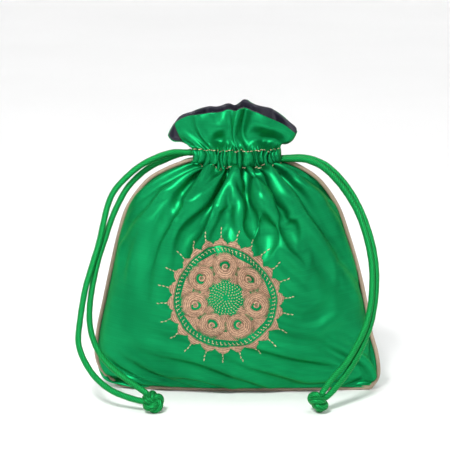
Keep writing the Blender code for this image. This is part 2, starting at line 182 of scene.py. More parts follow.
# Its hollows and bulges, as x, reach in x, share of the height, reach in height and depth.
RUFFLE_HOLLOWS = (
    (-8.8, 2.9, 0.20, 0.19, -6.4), (-8.8, 4.5, 0.56, 0.18, 2.6),
    (16.0, 6.2, 0.20, 0.24, -7.6), (15.0, 6.2, 0.68, 0.20, 2.4),
)
RUFFLE_SPREAD = 0.58           # power by which the flaps fan out, 1 for an even fan
MIDDLE_FOLD = -0.8             # x of the sharp fold in the middle of the front ruffle
BACK_FOLD_SPACING = 17.0

# Cloth simulation
DRAPE_STEPS = 110
LINK_ROUNDS = 3                # times the links are pulled in each step
KEPT_SPEED = 0.9
CLOTH_DROP = 0.004             # fall in each step, in millimetres
# Links as rows up, columns across, share taken out each time, and whether they only push.
CLOTH_LINKS = (
    (0, 1, 0.9, False), (1, 0, 0.9, False), (1, 1, 0.35, False), (1, -1, 0.35, False),
    (0, 2, 0.10, True), (2, 0, 0.10, True), (0, 4, 0.05, True), (4, 0, 0.05, True),
)

# Lining
LINING_OFFSET = 0.75           # gap between the satin and its lining
BODY_LINING_GAP = 0.7          # more gap in the body
PLEAT_LINING_GAP = 3.4         # and most of it under the pleats
LINING_IN_LOOP = 3.4           # how far inside the cords' loop it passes, along x
LINING_IN_DEPTH = 5.7          # and along y

# Sun medallion, in millimetres
MEDALLION_X = -5.5
MEDALLION_HEIGHT = 52.0
RING_INNER = 25.9
RING_VALLEY = 28.1
RING_PEAK = 30.1
RAY_TIP = 35.4
LADDER_RADIUS = 24.75
LADDER_FOOT = 23.3
LADDER_TOP = 24.3
LADDER_STEPS = 74
BOSS_RADIUS = 15.4             # distance of the swirls' centres from the medallion's centre
BOSS_REACH = 7.1               # length of a swirl's stitches from its centre
STITCHES_IN_BOSS = 60
STITCHES_IN_HEART = 20
ROSETTE_RINGS = (1.9, 3.1, 4.3, 5.5, 6.7, 7.9)
ROSETTE_SPACING = 1.45
# Width and height of a stitch in each part of the embroidery.
RING_STITCH = (0.66, 0.42)
RAY_STITCH = (0.55, 0.42)
LADDER_STITCH = (0.42, 0.34)
SWIRL_STITCH = (0.68, 0.46)
ROSETTE_STITCH = (0.40, 0.34)
CHANNEL_STITCH = (0.45, 0.40)
CHANNEL_STITCHES = 30

# Stage: bowl-shaped floor in millimetres, the rest in metres and watts.
FLOOR_RADIUS = 1900.0
FLOOR_CURVE = 700.0
WALL_HEIGHT = 3200.0
WALL_GLOW = 0.66
GLOW_IN_FRONT = 0.10           # share of the glow on the walls that face the embroidery
CAMERA_PLACE = (-0.00575, -0.88033, 0.26889)
CAMERA_AIM = (-0.00575, 0.0, 0.08177)
CAMERA_LENS = 144.0
LIGHT_AIM = (0.0, 0.0, 0.07)
# Lights as name, place, diameter and power.
LIGHTS = (
    ("key_light", (-0.24, -0.68, 0.80), 0.22, 9.6),
    ("fill_light", (0.62, -0.60, 0.62), 0.24, 0.5),
    ("top_light", (0.10, 0.05, 1.10), 0.40, 1.2),
    ("backdrop_light", (0.0, 0.8, 1.60), 1.60, 4.0),
)

finishes = {}                  # materials made so far, by the record's slot
cloth = {}                     # draped panels, kept for the pieces that are sewn to them


# ---------------------------------------------------------------- curves and surfaces
def spline(points, per_span):
    """Catmull-Rom curve through rows of numbers, per_span steps in each span."""
    rows = np.asarray(points, dtype=float)
    ends = np.vstack((2.0 * rows[0] - rows[1], rows, 2.0 * rows[-1] - rows[-2]))
    before, start, end, after = ends[:-3, None], ends[1:-2, None], ends[2:-1, None], ends[3:, None]
    step = np.linspace(0.0, 1.0, per_span, endpoint=False)[None, :, None]
    curve = 0.5 * (
        2.0 * start
        + (end - before) * step
        + (2.0 * before - 5.0 * start + 4.0 * end - after) * step ** 2
        + (3.0 * start - before - 3.0 * end + after) * step ** 3
    )
    return np.vstack((curve.reshape(-1, rows.shape[1]), rows[-1:]))


def along(path):
    """Distance along a path at each of its points, starting at 0."""
    steps = np.linalg.norm(np.diff(path, axis=0), axis=1)
    return np.concatenate(([0.0], np.cumsum(steps)))


def resample(path, count):
    """The path's points moved to even distances along it."""
    reach = along(path)
    wanted = np.linspace(0.0, reach[-1], count)
    return np.stack([np.interp(wanted, reach, column) for column in path.T], axis=1)


def unit(vectors):
    """Vectors scaled to length 1 along the last axis."""
    return vectors / (np.linalg.norm(vectors, axis=-1, keepdims=True) + 1e-12)


def normals_of(grid, side=1.0):
    """Unit normals of a grid of points: the across step crossed with the up step."""
    across = np.gradient(grid, axis=1)
    upward = np.gradient(grid, axis=0)
    return unit(np.cross(across, upward)) * side


def blur(count, reach):
    """Square matrix that averages a row of count values over a bell of that reach."""
    places = np.arange(count)
    bell = np.exp(-0.5 * ((places[:, None] - places[None, :]) / reach) ** 2)
    return bell / bell.sum(axis=1, keepdims=True)


def grid_quads(rows, columns, around=False):
    """Corner numbers of the quads of a grid, whose columns may close on themselves."""
    numbers = np.arange(rows * columns).reshape(rows, columns)
    right = np.roll(numbers, -1, axis=1)
    last = columns if around else columns - 1
    return np.stack((
        numbers[:-1, :last], right[:-1, :last], right[1:, :last], numbers[1:, :last],
    ), axis=-1).reshape(-1, 4)


def mesh_object(name, points, quads, uv=None, smooth=True):
    """A mesh object at the origin from points in millimetres, quads and one uv per point."""
    points = np.asarray(points, dtype=float).reshape(-1, 3)
    quads = np.asarray(quads, dtype=np.int32)
    mesh = bpy.data.meshes.new(name)
    mesh.vertices.add(len(points))
    mesh.vertices.foreach_set("co", (points * MM).astype(np.float32).ravel())
    mesh.loops.add(quads.size)
    mesh.loops.foreach_set("vertex_index", quads.ravel())
    mesh.polygons.add(len(quads))
    mesh.polygons.foreach_set("loop_start", np.arange(0, quads.size, 4, dtype=np.int32))
    mesh.update(calc_edges=True)
    if uv is not None:
        layer = mesh.uv_layers.new(name="UVMap")
        flat = np.asarray(uv, dtype=np.float32).reshape(-1, 2)[quads.ravel()]
        layer.data.foreach_set("uv", flat.ravel())
    mesh.polygons.foreach_set("use_smooth", np.full(len(quads), smooth))
    item = bpy.data.objects.new(name, mesh)
    bpy.context.scene.collection.objects.link(item)
    return item


def tube(path, radius, sides, reference):
    """Tube round a path with closed ends: rings of points, their quads and uv in metres.

    Each ring is radius times (cos a, sin a) in the plane across the path, where one axis
    is the reference direction with its part along the path taken out.
    """
    forward = unit(np.gradient(path, axis=0))
    reference = np.broadcast_to(reference, path.shape)
    first = unit(reference - (reference * forward).sum(axis=1, keepdims=True) * forward)
    second = np.cross(forward, first)
    angles = np.linspace(0.0, 2.0 * math.pi, sides, endpoint=False)
    size = np.broadcast_to(np.asarray(radius, dtype=float).reshape(-1, 1, 1), (len(path), 1, 1))
    ring = (
        np.cos(angles)[None, :, None] * first[:, None]
        + np.sin(angles)[None, :, None] * second[:, None]
    )
    points = path[:, None] + size * ring
    quads = grid_quads(len(path), sides, around=True)
    places = np.arange(sides // 2 - 1)
    cap = np.stack((
        places, places + 1, sides - 2 - places, sides - 1 - places,
    ), axis=1)
    far = (len(path) - 1) * sides
    quads = np.vstack((quads, cap[:, ::-1], cap + far))
    reach = np.broadcast_to(along(path)[:, None], (len(path), sides))
    turn = np.broadcast_to(angles[None, :] / (2.0 * math.pi), (len(path), sides))
    uv = np.stack((reach * MM, turn * 2.0 * math.pi * float(np.max(size)) * MM), axis=-1)
    return points.reshape(-1, 3), quads, uv.reshape(-1, 2)


# ---------------------------------------------------------------- draping the cloth
def constraint_slices(rows, columns, down, right):
    """Pairs of grid slices that hold each cloth link of one kind once, with no shared point."""
    step_rows, step_columns = 1, 1
    if down and not right:
        step_rows = 2 * down
    elif right and not down:
        step_columns = 2 * right
    else:
        step_rows = 2
    pairs = []
    for row in range(step_rows):
        for column in range(step_columns):
            if right >= 0:
                first = (slice(row, rows - down, step_rows), slice(column, columns - right, step_columns))
                second = (slice(row + down, rows, step_rows), slice(column + right, columns, step_columns))
            else:
                first = (slice(row, rows - down, step_rows), slice(-right, columns))
                second = (slice(row + down, rows, step_rows), slice(0, columns + right))
            pairs.append((first, second))
    return pairs


def pull_pairs(points, free, pairs, flat, share, only_push=False):
    """Move each linked pair towards its flat distance, by share of what is missing.

    A link that only pushes acts when its two points are nearer than their flat distance.
    """
    for first, second in pairs:
        rest = np.linalg.norm(flat[second] - flat[first], axis=-1)
        gap = points[second] - points[first]
        length = np.sqrt((gap * gap).sum(axis=-1)) + 1e-9
        missing = share * (length - rest) / (length * (free[first] + free[second] + 1e-9))
        if only_push:
            missing = np.minimum(missing, 0.0)
        move = gap * missing[..., None]
        points[first] += move * free[first][..., None]
        points[second] -= move * free[second][..., None]


def drape(start, flat, target, outward, free, follow, limits, steps):
    """Cloth simulation on a grid, by moving points until each link has its flat length.

    Links run across, up, diagonally and, weakly, to the second and the fourth point, which
    makes the cloth resist sharp folds.  The smoothed distance from the target surface is
    taken out a little at a time, so the stuffing holds the large shape while the folds are
    free.
    """
    rows, columns = start.shape[:2]
    links = [
        (constraint_slices(rows, columns, up, across), share, only_push)
        for up, across, share, only_push in CLOTH_LINKS
    ]
    row_blur, column_blur = blur(rows, 5.0), blur(columns, 7.0)
    points, previous = start.copy(), start.copy()
    for _ in range(steps):
        drift = (points - previous) * KEPT_SPEED
        previous = points.copy()
        points += drift * free[..., None]
        points[..., 2] -= CLOTH_DROP * free
        for _ in range(LINK_ROUNDS):
            for pairs, share, only_push in links:
                pull_pairs(points, free, pairs, flat, share, only_push)
        error = ((points - target) * outward).sum(axis=-1)
        smooth = row_blur @ error @ column_blur.T
        points -= (free * follow * smooth)[..., None] * outward
        limits(points)
    return points


def station_rows(seam_left, seam_right, middle, count):
    """Seam and middle points of each body row, at even distances along the middle."""
    stations = np.hstack((np.array(seam_left), np.array(seam_right), np.array(middle)))
    dense = spline(stations, 24)
    reach = 0.5 * along(dense[:, 6:8]) / along(dense[:, 6:8])[-1]
    reach += 0.5 * along(dense[:, :3]) / along(dense[:, :3])[-1]
    wanted = np.linspace(0.0, 1.0, count)
    return np.stack([np.interp(wanted, reach, column) for column in dense.T], axis=1)


def body_target(side, middle):
    """The stuffed shape of a panel: each row is an arch from seam to seam.

    x runs from the left to the right seam as a cosine, y and z go from the seam to the
    middle by a power of the sine, which is thin-edged low down and round higher up.
    """
    rows = station_rows(LEFT_SEAM, RIGHT_SEAM, middle, BODY_ROWS)
    angle = np.linspace(math.pi, 0.0, 4 * COLUMNS)
    arch = np.sin(angle)
    share = 0.5 - 0.5 * np.cos(math.pi - angle)
    left, right = rows[:, None, :3], rows[:, None, 3:6]
    edge = left + (right - left) * share[None, :, None]
    thin = 1.0 + 0.9 * np.exp(-rows[:, 2] / 12.0)
    rise = arch[None, :] ** thin[:, None]
    flat_arch = np.clip(1.3 * arch, 0.0, 1.0)[None, :]
    dense = edge.copy()
    dense[..., 1] += side * 0.5 + (rows[:, 6:7] - edge[..., 1]) * rise
    dense[..., 2] += (rows[:, 7:8] - edge[..., 2]) * (flat_arch if side > 0 else rise)
    reach = np.linalg.norm(np.diff(dense, axis=1), axis=-1).cumsum(axis=1)
    reach = np.concatenate((np.zeros((len(rows), 1)), reach), axis=1)
    reach /= reach[:, -1:]
    wanted = np.linspace(0.0, 1.0, COLUMNS)
    grid = np.empty((BODY_ROWS, COLUMNS, 3))
    for row in range(BODY_ROWS):
        for axis in range(3):
            grid[row, :, axis] = np.interp(wanted, reach[row], dense[row, :, axis])
    return grid


def pleat_phase(across):
    """Phase of the pleats over a panel's width, uneven as hand-drawn gathers are."""
    return 2.0 * math.pi * (
        PLEATS * across + 0.55 * np.sin(2.0 * math.pi * 2.3 * across + 0.8)
        + 0.26 * np.sin(2.0 * math.pi * 5.1 * across + 2.0)
    )


def channel_rows(side):
    """Pleated wall of the channel: the cords' loop moved outwards by a wave.

    The wave's crests lean to one side, and the wall bulges between its two stitch rows.
    """
    across = np.linspace(0.0, 1.0, COLUMNS)
    edge_angle = math.asin(EXIT_GAP / (LOOP_HALF_DEPTH + 1.9))
    fine = np.linspace(math.pi - edge_angle, edge_angle, 900)
    reach = along(np.stack((LOOP_HALF_WIDTH * np.cos(fine), LOOP_HALF_DEPTH * np.sin(fine)), axis=1))
    angle = np.interp(across * reach[-1], reach, fine)
    taper = np.clip(np.sin(angle) * 1.5, 0.55, 1.0)
    phase = pleat_phase(across)
    uneven = 1.0 + 0.42 * np.sin(2.0 * math.pi * 3.7 * across + 1.0)
    wave = 0.5 + 0.5 * np.cos(phase)
    heights = np.linspace(0.0, 1.0, CHANNEL_ROWS + 1)
    grid = np.empty((len(heights), COLUMNS, 3))
    normal_x, normal_y = LOOP_HALF_DEPTH * np.cos(angle), LOOP_HALF_WIDTH * np.sin(angle)
    size = np.hypot(normal_x, normal_y)
    normal_x, normal_y = normal_x / size, normal_y / size
    for row, height in enumerate(heights):
        bulge = 0.7 * math.sin(math.pi * height)
        offset = 1.9 + bulge + PLEAT_DEPTH * taper * uneven * wave
        wander = 1.4 * height * np.sin(0.37 * phase)
        lean = taper * (0.75 + 0.5 * math.sin(5.0 * height)) * np.sin(phase + wander)
        grid[row, :, 0] = LOOP_HALF_WIDTH * np.cos(angle) + offset * normal_x + lean * normal_y
        grid[row, :, 1] = LOOP_HALF_DEPTH * np.sin(angle) + offset * normal_y - lean * normal_x
        rise = (0.9 * np.sin(phase * 0.5 + 0.7) + 0.5 * np.sin(phase * 0.31)) * (1.0 - 0.6 * height)
        grid[row, :, 2] = CHANNEL_BOTTOM + (CHANNEL_TOP - CHANNEL_BOTTOM) * height + rise
    grid[..., 1] *= side
    return grid


def hump(places, middle, reach):
    """Bell of height 1 at the middle."""
    return np.exp(-((places - middle) / reach) ** 2)


def ruffle_target(side, base):
    """Ruffle flap above the channel: it fans out from the channel to its own rim line.

    x goes from the channel's to the rim's, z rises by the rim's height at that place, and
    the depth is an arch over the width with ridges and hollows added as bells.
    """
    rim = spline(FRONT_RIM if side < 0 else BACK_RIM, 12)
    share = np.linspace(0.0, 1.0, RUFFLE_ROWS + 1)[1:, None]
    across = np.linspace(-1.0, 1.0, COLUMNS)
    rim_reach = np.interp(across, np.linspace(-1.0, 1.0, len(rim)), rim[:, 0])
    rise = np.interp(across, np.linspace(-1.0, 1.0, len(rim)), rim[:, 1])
    smooth_base = blur(COLUMNS, 6.0) @ base[-1]
    fan = share ** RUFFLE_SPREAD
    grid = np.empty((RUFFLE_ROWS, COLUMNS, 3))
    grid[..., 0] = smooth_base[:, 0] * (1.0 - fan) + rim_reach * fan
    x = grid[..., 0]
    arch = np.sqrt(np.clip(1.0 - across ** 2, 0.0, 1.0)) ** 0.8
    depth = 1.6 + (7.6 - 2.6 * fan) * arch
    if side < 0:
        reach = np.where(x < MIDDLE_FOLD, 1.0, 2.2)
        depth += (1.2 + 2.6 * fan) * hump(x, MIDDLE_FOLD, reach)
        for middle, reach, at_foot, growth in RUFFLE_RIDGES:
            depth += (at_foot + growth * fan) * hump(x, middle, reach)
        turned = -14.2 - 8.8 * share
        depth += (0.4 + 1.5 * fan) * hump(x, turned + 1.4, 1.9) - 1.5 * fan * (x < turned)
        for middle, reach, height, height_reach, change in RUFFLE_HOLLOWS:
            depth += change * hump(x, middle, reach) * hump(share, height, height_reach)
    else:
        wave = np.cos(2.0 * math.pi * (x + 15.0) / BACK_FOLD_SPACING)
        depth += (0.5 + 2.4 * fan) * wave * (0.3 + 0.7 * arch)
    grid[..., 1] = side * np.maximum(depth, 1.6 + 1.7 * arch)
    grid[..., 2] = CHANNEL_TOP + rise * share
    return grid


def flat_cut(body_height):
    """Flat place of each point of a panel's cut, in millimetres."""
    across = np.linspace(-0.5, 0.5, COLUMNS) * CUT_WIDTH
    body = np.linspace(0.0, body_height, BODY_ROWS)
    channel = body_height + np.linspace(0.0, CHANNEL_HEIGHT, CHANNEL_ROWS + 1)[1:]
    share = np.linspace(0.0, 1.0, RUFFLE_ROWS + 1)[1:]
    up = np.concatenate((body, channel, channel[-1] + share * RUFFLE_HEIGHT))
    fullness = np.concatenate((
        1.0 - 0.13 * np.exp(-(np.arange(BODY_ROWS) / 5.0) ** 2),
        np.linspace(1.0, RUFFLE_FULLNESS, CHANNEL_ROWS),
        np.linspace(RUFFLE_FULLNESS, RIM_FULLNESS, RUFFLE_ROWS),
    ))
    flat = np.empty((len(up), COLUMNS, 2))
    flat[..., 0] = across * fullness[:, None]
    flat[..., 1] = up[:, None]
    corner = np.abs(np.linspace(-1.0, 1.0, COLUMNS)) ** 2.2
    short = 1.0 - (1.0 - RUFFLE_CORNER_HEIGHT / RUFFLE_HEIGHT) * corner
    top = BODY_ROWS + CHANNEL_ROWS
    flat[top:, :, 1] = channel[-1] + (flat[top:, :, 1] - channel[-1]) * short
    return flat


def drape_panel(side):
    """Drape one satin panel, with its channel and ruffle, over the stuffed shape."""
    middle = FRONT_MIDDLE if side < 0 else BACK_MIDDLE
    height = FRONT_BODY_HEIGHT if side < 0 else BACK_BODY_HEIGHT
    body = body_target(side, middle)
    channel = channel_rows(side)
    body[-1] = channel[0]
    ruffle = ruffle_target(side, channel)
    target = np.concatenate((body, channel[1:], ruffle))
    flat = flat_cut(height)
    outward = normals_of(target, -side)
    rows = len(target)
    outward = unit(np.stack([
        blur(rows, 3.0) @ outward[..., axis] @ blur(COLUMNS, 4.0).T for axis in range(3)
    ], axis=-1))
    free = np.ones((rows, COLUMNS))
    top = BODY_ROWS + CHANNEL_ROWS
    free[0] = 0.0
    free[:top, 0] = free[:top, -1] = 0.0
    free[BODY_ROWS - 1] = 0.0
    free[top - 1] = 0.0
    free[BODY_ROWS:top - 1] = 0.4
    follow = np.full((rows, COLUMNS), 0.25)
    follow[top:] = 0.3
    start = target.copy()
    below = height - flat[:BODY_ROWS, :, 1]
    across = np.linspace(0.0, 1.0, COLUMNS)[None, :]
    near = np.exp(-below / 9.0) * np.sin(math.pi * across)
    fold = PLEAT_DEPTH * 0.6 * near * np.cos(pleat_phase(across))
    wide = 1.6 * np.exp(-((below - 18.0) / 16.0) ** 2) * np.cos(2.0 * math.pi * 6.2 * across + 0.6)
    noise = np.random.default_rng(7).normal(0.0, 0.12, below.shape)
    lift = (fold + wide * np.sin(math.pi * across) + noise) * free[:BODY_ROWS]
    start[:BODY_ROWS] += lift[..., None] * outward[:BODY_ROWS]
    seam_y = target[:, :1, 1] * 0.5 + target[:, -1:, 1] * 0.5

    def limits(points):
        """Keep the cloth above the floor and on its own side of the side seams."""
        points[..., 2] = np.maximum(points[..., 2], FLOOR_CLEARANCE)
        if side < 0:
            points[top:, :, 1] = np.minimum(points[top:, :, 1], -1.5)
        else:
            points[top:, :, 1] = np.maximum(points[top:, :, 1], 1.5)
            points[8:top, :, 1] = np.maximum(points[8:top, :, 1], seam_y[8:top])

    steps = DRAPE_STEPS
    points = drape(start, flat, target, outward, free, follow, limits, steps)
    shaped = RUFFLE_SHAPING * np.clip(np.arange(1, RUFFLE_ROWS + 1) / 3.0, 0.0, 1.0)[:, None, None]
    points[top:] += shaped * (target[top:] - points[top:])
    points[BODY_ROWS:top] += 0.8 * (target[BODY_ROWS:top] - points[BODY_ROWS:top])
    return points, flat


def add_creases(grid, side, creases):
    """Sharpen a draped panel with single folds: a ridge along a path with a hollow beside it.

    Each fold is a path of x and z, a height and a reach.  The ridge's height falls off as
    a bell of the distance from the path, and the hollow is a bell beside it, to its left.
    """
    outward = normals_of(grid, -side)
    place = grid[:BODY_ROWS, :, ::2]
    total = np.zeros(place.shape[:2])
    for path, height, reach, hollow in creases:
        curve = spline(path, 10)
        gap = place[:, :, None] - curve[None, None]
        distance = np.linalg.norm(gap, axis=-1)
        nearest = distance.argmin(axis=-1)
        forward = unit(np.gradient(curve, axis=0))
        left = np.stack((-forward[:, 1], forward[:, 0]), axis=1)[nearest]
        offset = np.take_along_axis(gap, nearest[..., None, None], axis=2)[:, :, 0]
        sideways = (offset * left).sum(axis=-1)
        ends = np.clip(np.minimum(nearest, len(curve) - 1 - nearest) / 8.0, 0.15, 1.0)
        away = distance.min(axis=-1)
        beside = hump(sideways, 1.7 * reach, 1.3 * reach) * hump(away, 0.0, 4.0 * reach)
        total += ends * (height * hump(away, 0.0, reach) - hollow * beside)
    grid[:BODY_ROWS] += total[..., None] * outward[:BODY_ROWS]


def add_slack(grid, flat, side):
    """Low waves of slack cloth over the stuffing, and the front's broad swells.

    The waves are sines that cross at slants, faded at the seams, and each swell is a bell
    in x and in z.
    """
    x, up = flat[:BODY_ROWS, :, 0], flat[:BODY_ROWS, :, 1]
    wave = np.sin(x / 8.3 + up / 13.0 + 1.3) * np.sin(up / 11.4 - x / 21.0 + 0.4)
    wave += 0.5 * np.sin(x / 6.6 - up / 7.2 + 2.0) * np.sin(up / 14.0 + 1.1)
    edge = np.clip(1.0 - np.abs(x) / (0.5 * CUT_WIDTH), 0.0, 0.12) / 0.12
    ends = np.clip(np.arange(BODY_ROWS) / 8.0, 0.0, 1.0)[:, None]
    lift = SLACK * wave * edge * ends
    if side < 0:
        for middle_x, middle_z, height, reach_x, reach_z in FRONT_SWELLS:
            across = hump(grid[:BODY_ROWS, :, 0], middle_x, reach_x)
            lift += height * across * hump(grid[:BODY_ROWS, :, 2], middle_z, reach_z)
    grid[:BODY_ROWS] += lift[..., None] * normals_of(grid, -side)[:BODY_ROWS]
    grid[..., 2] = np.maximum(grid[..., 2], FLOOR_CLEARANCE)


def draped(side):
    """The draped panel of that side, worked out once."""
    if side not in cloth:
        cloth[side] = drape_panel(side)
        add_slack(cloth[side][0], cloth[side][1], side)
        if side < 0:
            add_creases(cloth[side][0], side, FRONT_CREASES)
    return cloth[side][0]


def lining_of(grid, side):
    """Lining inside a panel: moved inwards by a small gap, and pulled in from the seams.

    In the channel it passes inside the cords' loop instead, where the cords lie between
    the two cloths, and a bell over the rows joins the two shapes.  Above the base it stays
    behind the deepest satin within four columns and one row of it.
    """
    rows = len(grid)
    normals = normals_of(grid, -side)
    normals = unit(np.stack([
        blur(rows, 1.3) @ normals[..., axis] @ blur(COLUMNS, 1.3).T for axis in range(3)
    ], axis=-1))
    top = BODY_ROWS + CHANNEL_ROWS
    number = np.arange(rows)
    below = np.exp(-((BODY_ROWS - 1.0 - number) / 11.0) ** 2) * (number < top)
    below = below[:, None, None]
    smooth = np.stack([grid[..., axis] @ blur(COLUMNS, 5.0).T for axis in range(3)], axis=-1)
    body = (number < top)[:, None, None]
    gap = LINING_OFFSET + BODY_LINING_GAP * body + PLEAT_LINING_GAP * below
    inner = grid + (smooth - grid) * below - normals * gap
    from_edge = np.minimum(np.arange(COLUMNS), COLUMNS - 1 - np.arange(COLUMNS))
    low = np.exp(-(number[:top, None] / 7.0) ** 2)
    pull = (2.8 + 6.0 * low) * np.exp(-(from_edge[None, :] / (5.0 + 7.0 * low)) ** 2)
    inner[:top, :, 0] -= np.sign(np.linspace(-1.0, 1.0, COLUMNS)) * pull
    inner[:top, :, 2] += 2.2 * np.exp(-(number[:top] / 4.0) ** 2)[:, None]
    inner[:top, :, 1] += 3.0 * np.exp(-(number[:top] / 6.0) ** 2)[:, None]
    inner[..., 2] = np.maximum(inner[..., 2], FLOOR_CLEARANCE + LINING_OFFSET)
    angle = np.linspace(math.pi, 0.0, COLUMNS)
    loop = grid.copy()
    loop[..., 0] = (LOOP_HALF_WIDTH - LINING_IN_LOOP) * np.cos(angle)
    loop[..., 1] = side * (0.5 + (LOOP_HALF_DEPTH - LINING_IN_DEPTH) * np.sin(angle))
    loop[..., 2] = (blur(COLUMNS, 6.0) @ grid[..., 2].T).T
    away = np.maximum(BODY_ROWS - 2.0 - number, number - top) / np.where(number < BODY_ROWS, 4.0, 1.8)
    near = np.exp(-np.clip(away, 0.0, None) ** 2)[:, None, None]
    inner = inner * (1.0 - near) + loop * near
    depth = side * grid[:top, :, 1]
    deepest = np.min([np.roll(depth, step, axis=1) for step in range(-4, 5)], axis=0)
    padded = np.pad(deepest, ((1, 1), (0, 0)), mode="edge")
    deepest = np.minimum(deepest, np.minimum(padded[:-2], padded[2:]))
    limit = deepest[8:] - LINING_OFFSET - 0.3
    inner[8:top, :, 1] = side * np.minimum(side * inner[8:top, :, 1], limit)
    inner[-1, :, 2] = np.maximum(inner[-1, :, 2], grid[-1, :, 2]) + 0.15
    return inner


def on_panel(side, rows, columns, lift):
    """Points lift above a draped panel, with its normals, between the grid's own points."""
    grid = draped(side)
    normals = normals_of(grid, -side)
    low_row = np.clip(np.floor(rows).astype(int), 0, grid.shape[0] - 2)
    low_column = np.clip(np.floor(columns).astype(int), 0, COLUMNS - 2)
    up, right = (rows - low_row)[..., None], (columns - low_column)[..., None]

    def between(values):
        """Bilinear mean of the four grid values round each place."""
        below = values[low_row, low_column] * (1.0 - right) + values[low_row, low_column + 1] * right
        above = values[low_row + 1, low_column] * (1.0 - right) + values[low_row + 1, low_column + 1] * right
        return below * (1.0 - up) + above * up

    normal = unit(between(normals))
    return between(grid) + normal * lift[..., None], normal


# ---------------------------------------------------------------- materials
def new_material(name, roughness, **sockets):
    """A material with its Principled shader, whose constant sockets are set by name."""
    material = bpy.data.materials.new(name)
    material.use_nodes = True
    tree = material.node_tree
    tree.nodes.clear()
    shader = tree.nodes.new("ShaderNodeBsdfPrincipled")
    output = tree.nodes.new("ShaderNodeOutputMaterial")
    tree.links.new(shader.outputs["BSDF"], output.inputs["Surface"])
    shader.inputs["Roughness"].default_value = roughness
    for socket, value in sockets.items():
        shader.inputs[socket.replace("_", " ")].default_value = value
    return material, tree, shader


def add_node(tree, kind, links=(), **values):
    """A shader node, with sockets set or linked by name."""
    node = tree.nodes.new(kind)
    for name, value in values.items():
        setattr(node, name, value)
    for socket, value in links:
        if hasattr(value, "is_output"):
            tree.links.new(value, node.inputs[socket])
        else:
            node.inputs[socket].default_value = value
    return node


def place(tree, output, scale, turn=0.0):
    """Coordinates of a pattern: an output of Texture Coordinate, scaled and turned."""
    source = add_node(tree, "ShaderNodeTexCoord").outputs[output]
    return add_node(tree, "ShaderNodeMapping", (
        ("Vector", source), ("Scale", scale), ("Rotation", (0.0, 0.0, turn)),
    )).outputs["Vector"]


def noise(tree, vector, scale, detail=2.0):
    """Cloudy values round 0.5."""
    return add_node(tree, "ShaderNodeTexNoise", (
        ("Vector", vector), ("Scale", scale), ("Detail", detail),
    )).outputs["Fac"]


def stripes(tree, vector, scale, distortion=0.0):
    """Sine stripes across x."""
    return add_node(tree, "ShaderNodeTexWave", (
        ("Vector", vector), ("Scale", scale), ("Distortion", distortion), ("Detail", 1.0),
    )).outputs["Fac"]


def math_node(tree, operation, first, second):
    """A sum or a product of two values."""
    return add_node(tree, "ShaderNodeMath", ((0, first), (1, second)), operation=operation).outputs[0]


def mean(tree, first, first_share, second, second_share):
    """Two values added by their shares."""
    return math_node(
        tree, "ADD", math_node(tree, "MULTIPLY", first, first_share),
        math_node(tree, "MULTIPLY", second, second_share),
    )


def tone(tree, factor, dark, light, low=0.3, high=0.7):
    """Colour between dark and light as factor goes from low to high."""
    ramp = add_node(tree, "ShaderNodeMapRange", (
        ("Value", factor), ("From Min", low), ("From Max", high),
    )).outputs["Result"]
    return add_node(
        tree, "ShaderNodeMix", ((0, ramp), (6, dark), (7, light)), data_type="RGBA",
    ).outputs[2]


def scaled(colour, factor):
    """A colour made darker or lighter."""
    return tuple(min(1.0, value * factor) for value in colour[:3]) + (1.0,)


def bump(tree, shader, height, distance, strength=1.0):
    """Relief of that height in metres on the shader."""
    node = add_node(tree, "ShaderNodeBump", (
        ("Height", height), ("Distance", distance), ("Strength", strength),
    ))
    tree.links.new(node.outputs["Normal"], shader.inputs["Normal"])


def satin_material(name, colour, gloss):
    """Satin: floats of bright warp, fine weft ridges, slubs and large cloudy patches of painted sheen and
    shade.
    """
    material, tree, shader = new_material(
        name, 0.44, Metallic=0.76 * gloss, Specular_IOR_Level=0.35,
        Specular_Tint=scaled(colour, 2.4), Anisotropic=0.35,
    )
    thread = place(tree, "UV", (1.0, 1.0, 1.0))
    weft = place(tree, "UV", (40.0, 2600.0, 1.0))
    slub = noise(tree, weft, 1.0, 3.0)
    warp = place(tree, "UV", (3200.0, 60.0, 1.0))
    floats = noise(tree, warp, 1.0, 2.0)
    # Cloudy patches made lighter and darker in the colour: painted sheen and shade that stand in for the
    # satin's broad reflections. The slubs are the yarn's own tone.
    cloud = noise(tree, place(tree, "Object", (1.0, 1.0, 1.0)), 38.0, 3.0)
    shade = tone(tree, mean(tree, slub, 0.32, cloud, 0.68), scaled(colour, 0.62), scaled(colour, 1.22))
    tree.links.new(shade, shader.inputs["Base Color"])
    rough = add_node(tree, "ShaderNodeMapRange", (
        ("Value", floats), ("To Min", 0.38), ("To Max", 0.50),
    )).outputs["Result"]
    tree.links.new(rough, shader.inputs["Roughness"])
    tangent = add_node(tree, "ShaderNodeTangent", direction_type="UV_MAP", uv_map="UVMap")
    tree.links.new(tangent.outputs["Tangent"], shader.inputs["Tangent"])
    ribs = stripes(tree, thread, 700.0, 0.6)
    relief = math_node(tree, "ADD", math_node(tree, "MULTIPLY", ribs, 0.25), floats)
    bump(tree, shader, relief, 0.00004)
    return material


def cord_material(name, colour):
    """Round satin cord: diagonal ribs of wrapped thread over a soft core, with painted shade in the low
    places of its ribs and fibres.
    """
    material, tree, shader = new_material(
        name, 0.38, Metallic=0.4, Specular_IOR_Level=0.3, Specular_Tint=scaled(colour, 2.4),
    )
    ribs = stripes(tree, place(tree, "UV", (1.0, 1.0, 1.0), 0.95), 330.0, 0.8)
    fibres = noise(tree, place(tree, "UV", (900.0, 5200.0, 1.0), 0.95), 1.0)
    # Ribs and fibres set the colour's tone, darker where their relief is low: painted shade in the grooves.
    value = mean(tree, ribs, 0.65, fibres, 0.35)
    shade = tone(tree, value, scaled(colour, 0.62), scaled(colour, 1.25), 0.15, 0.85)
    tree.links.new(shade, shader.inputs["Base Color"])
    bump(tree, shader, value, 0.00022)
    return material


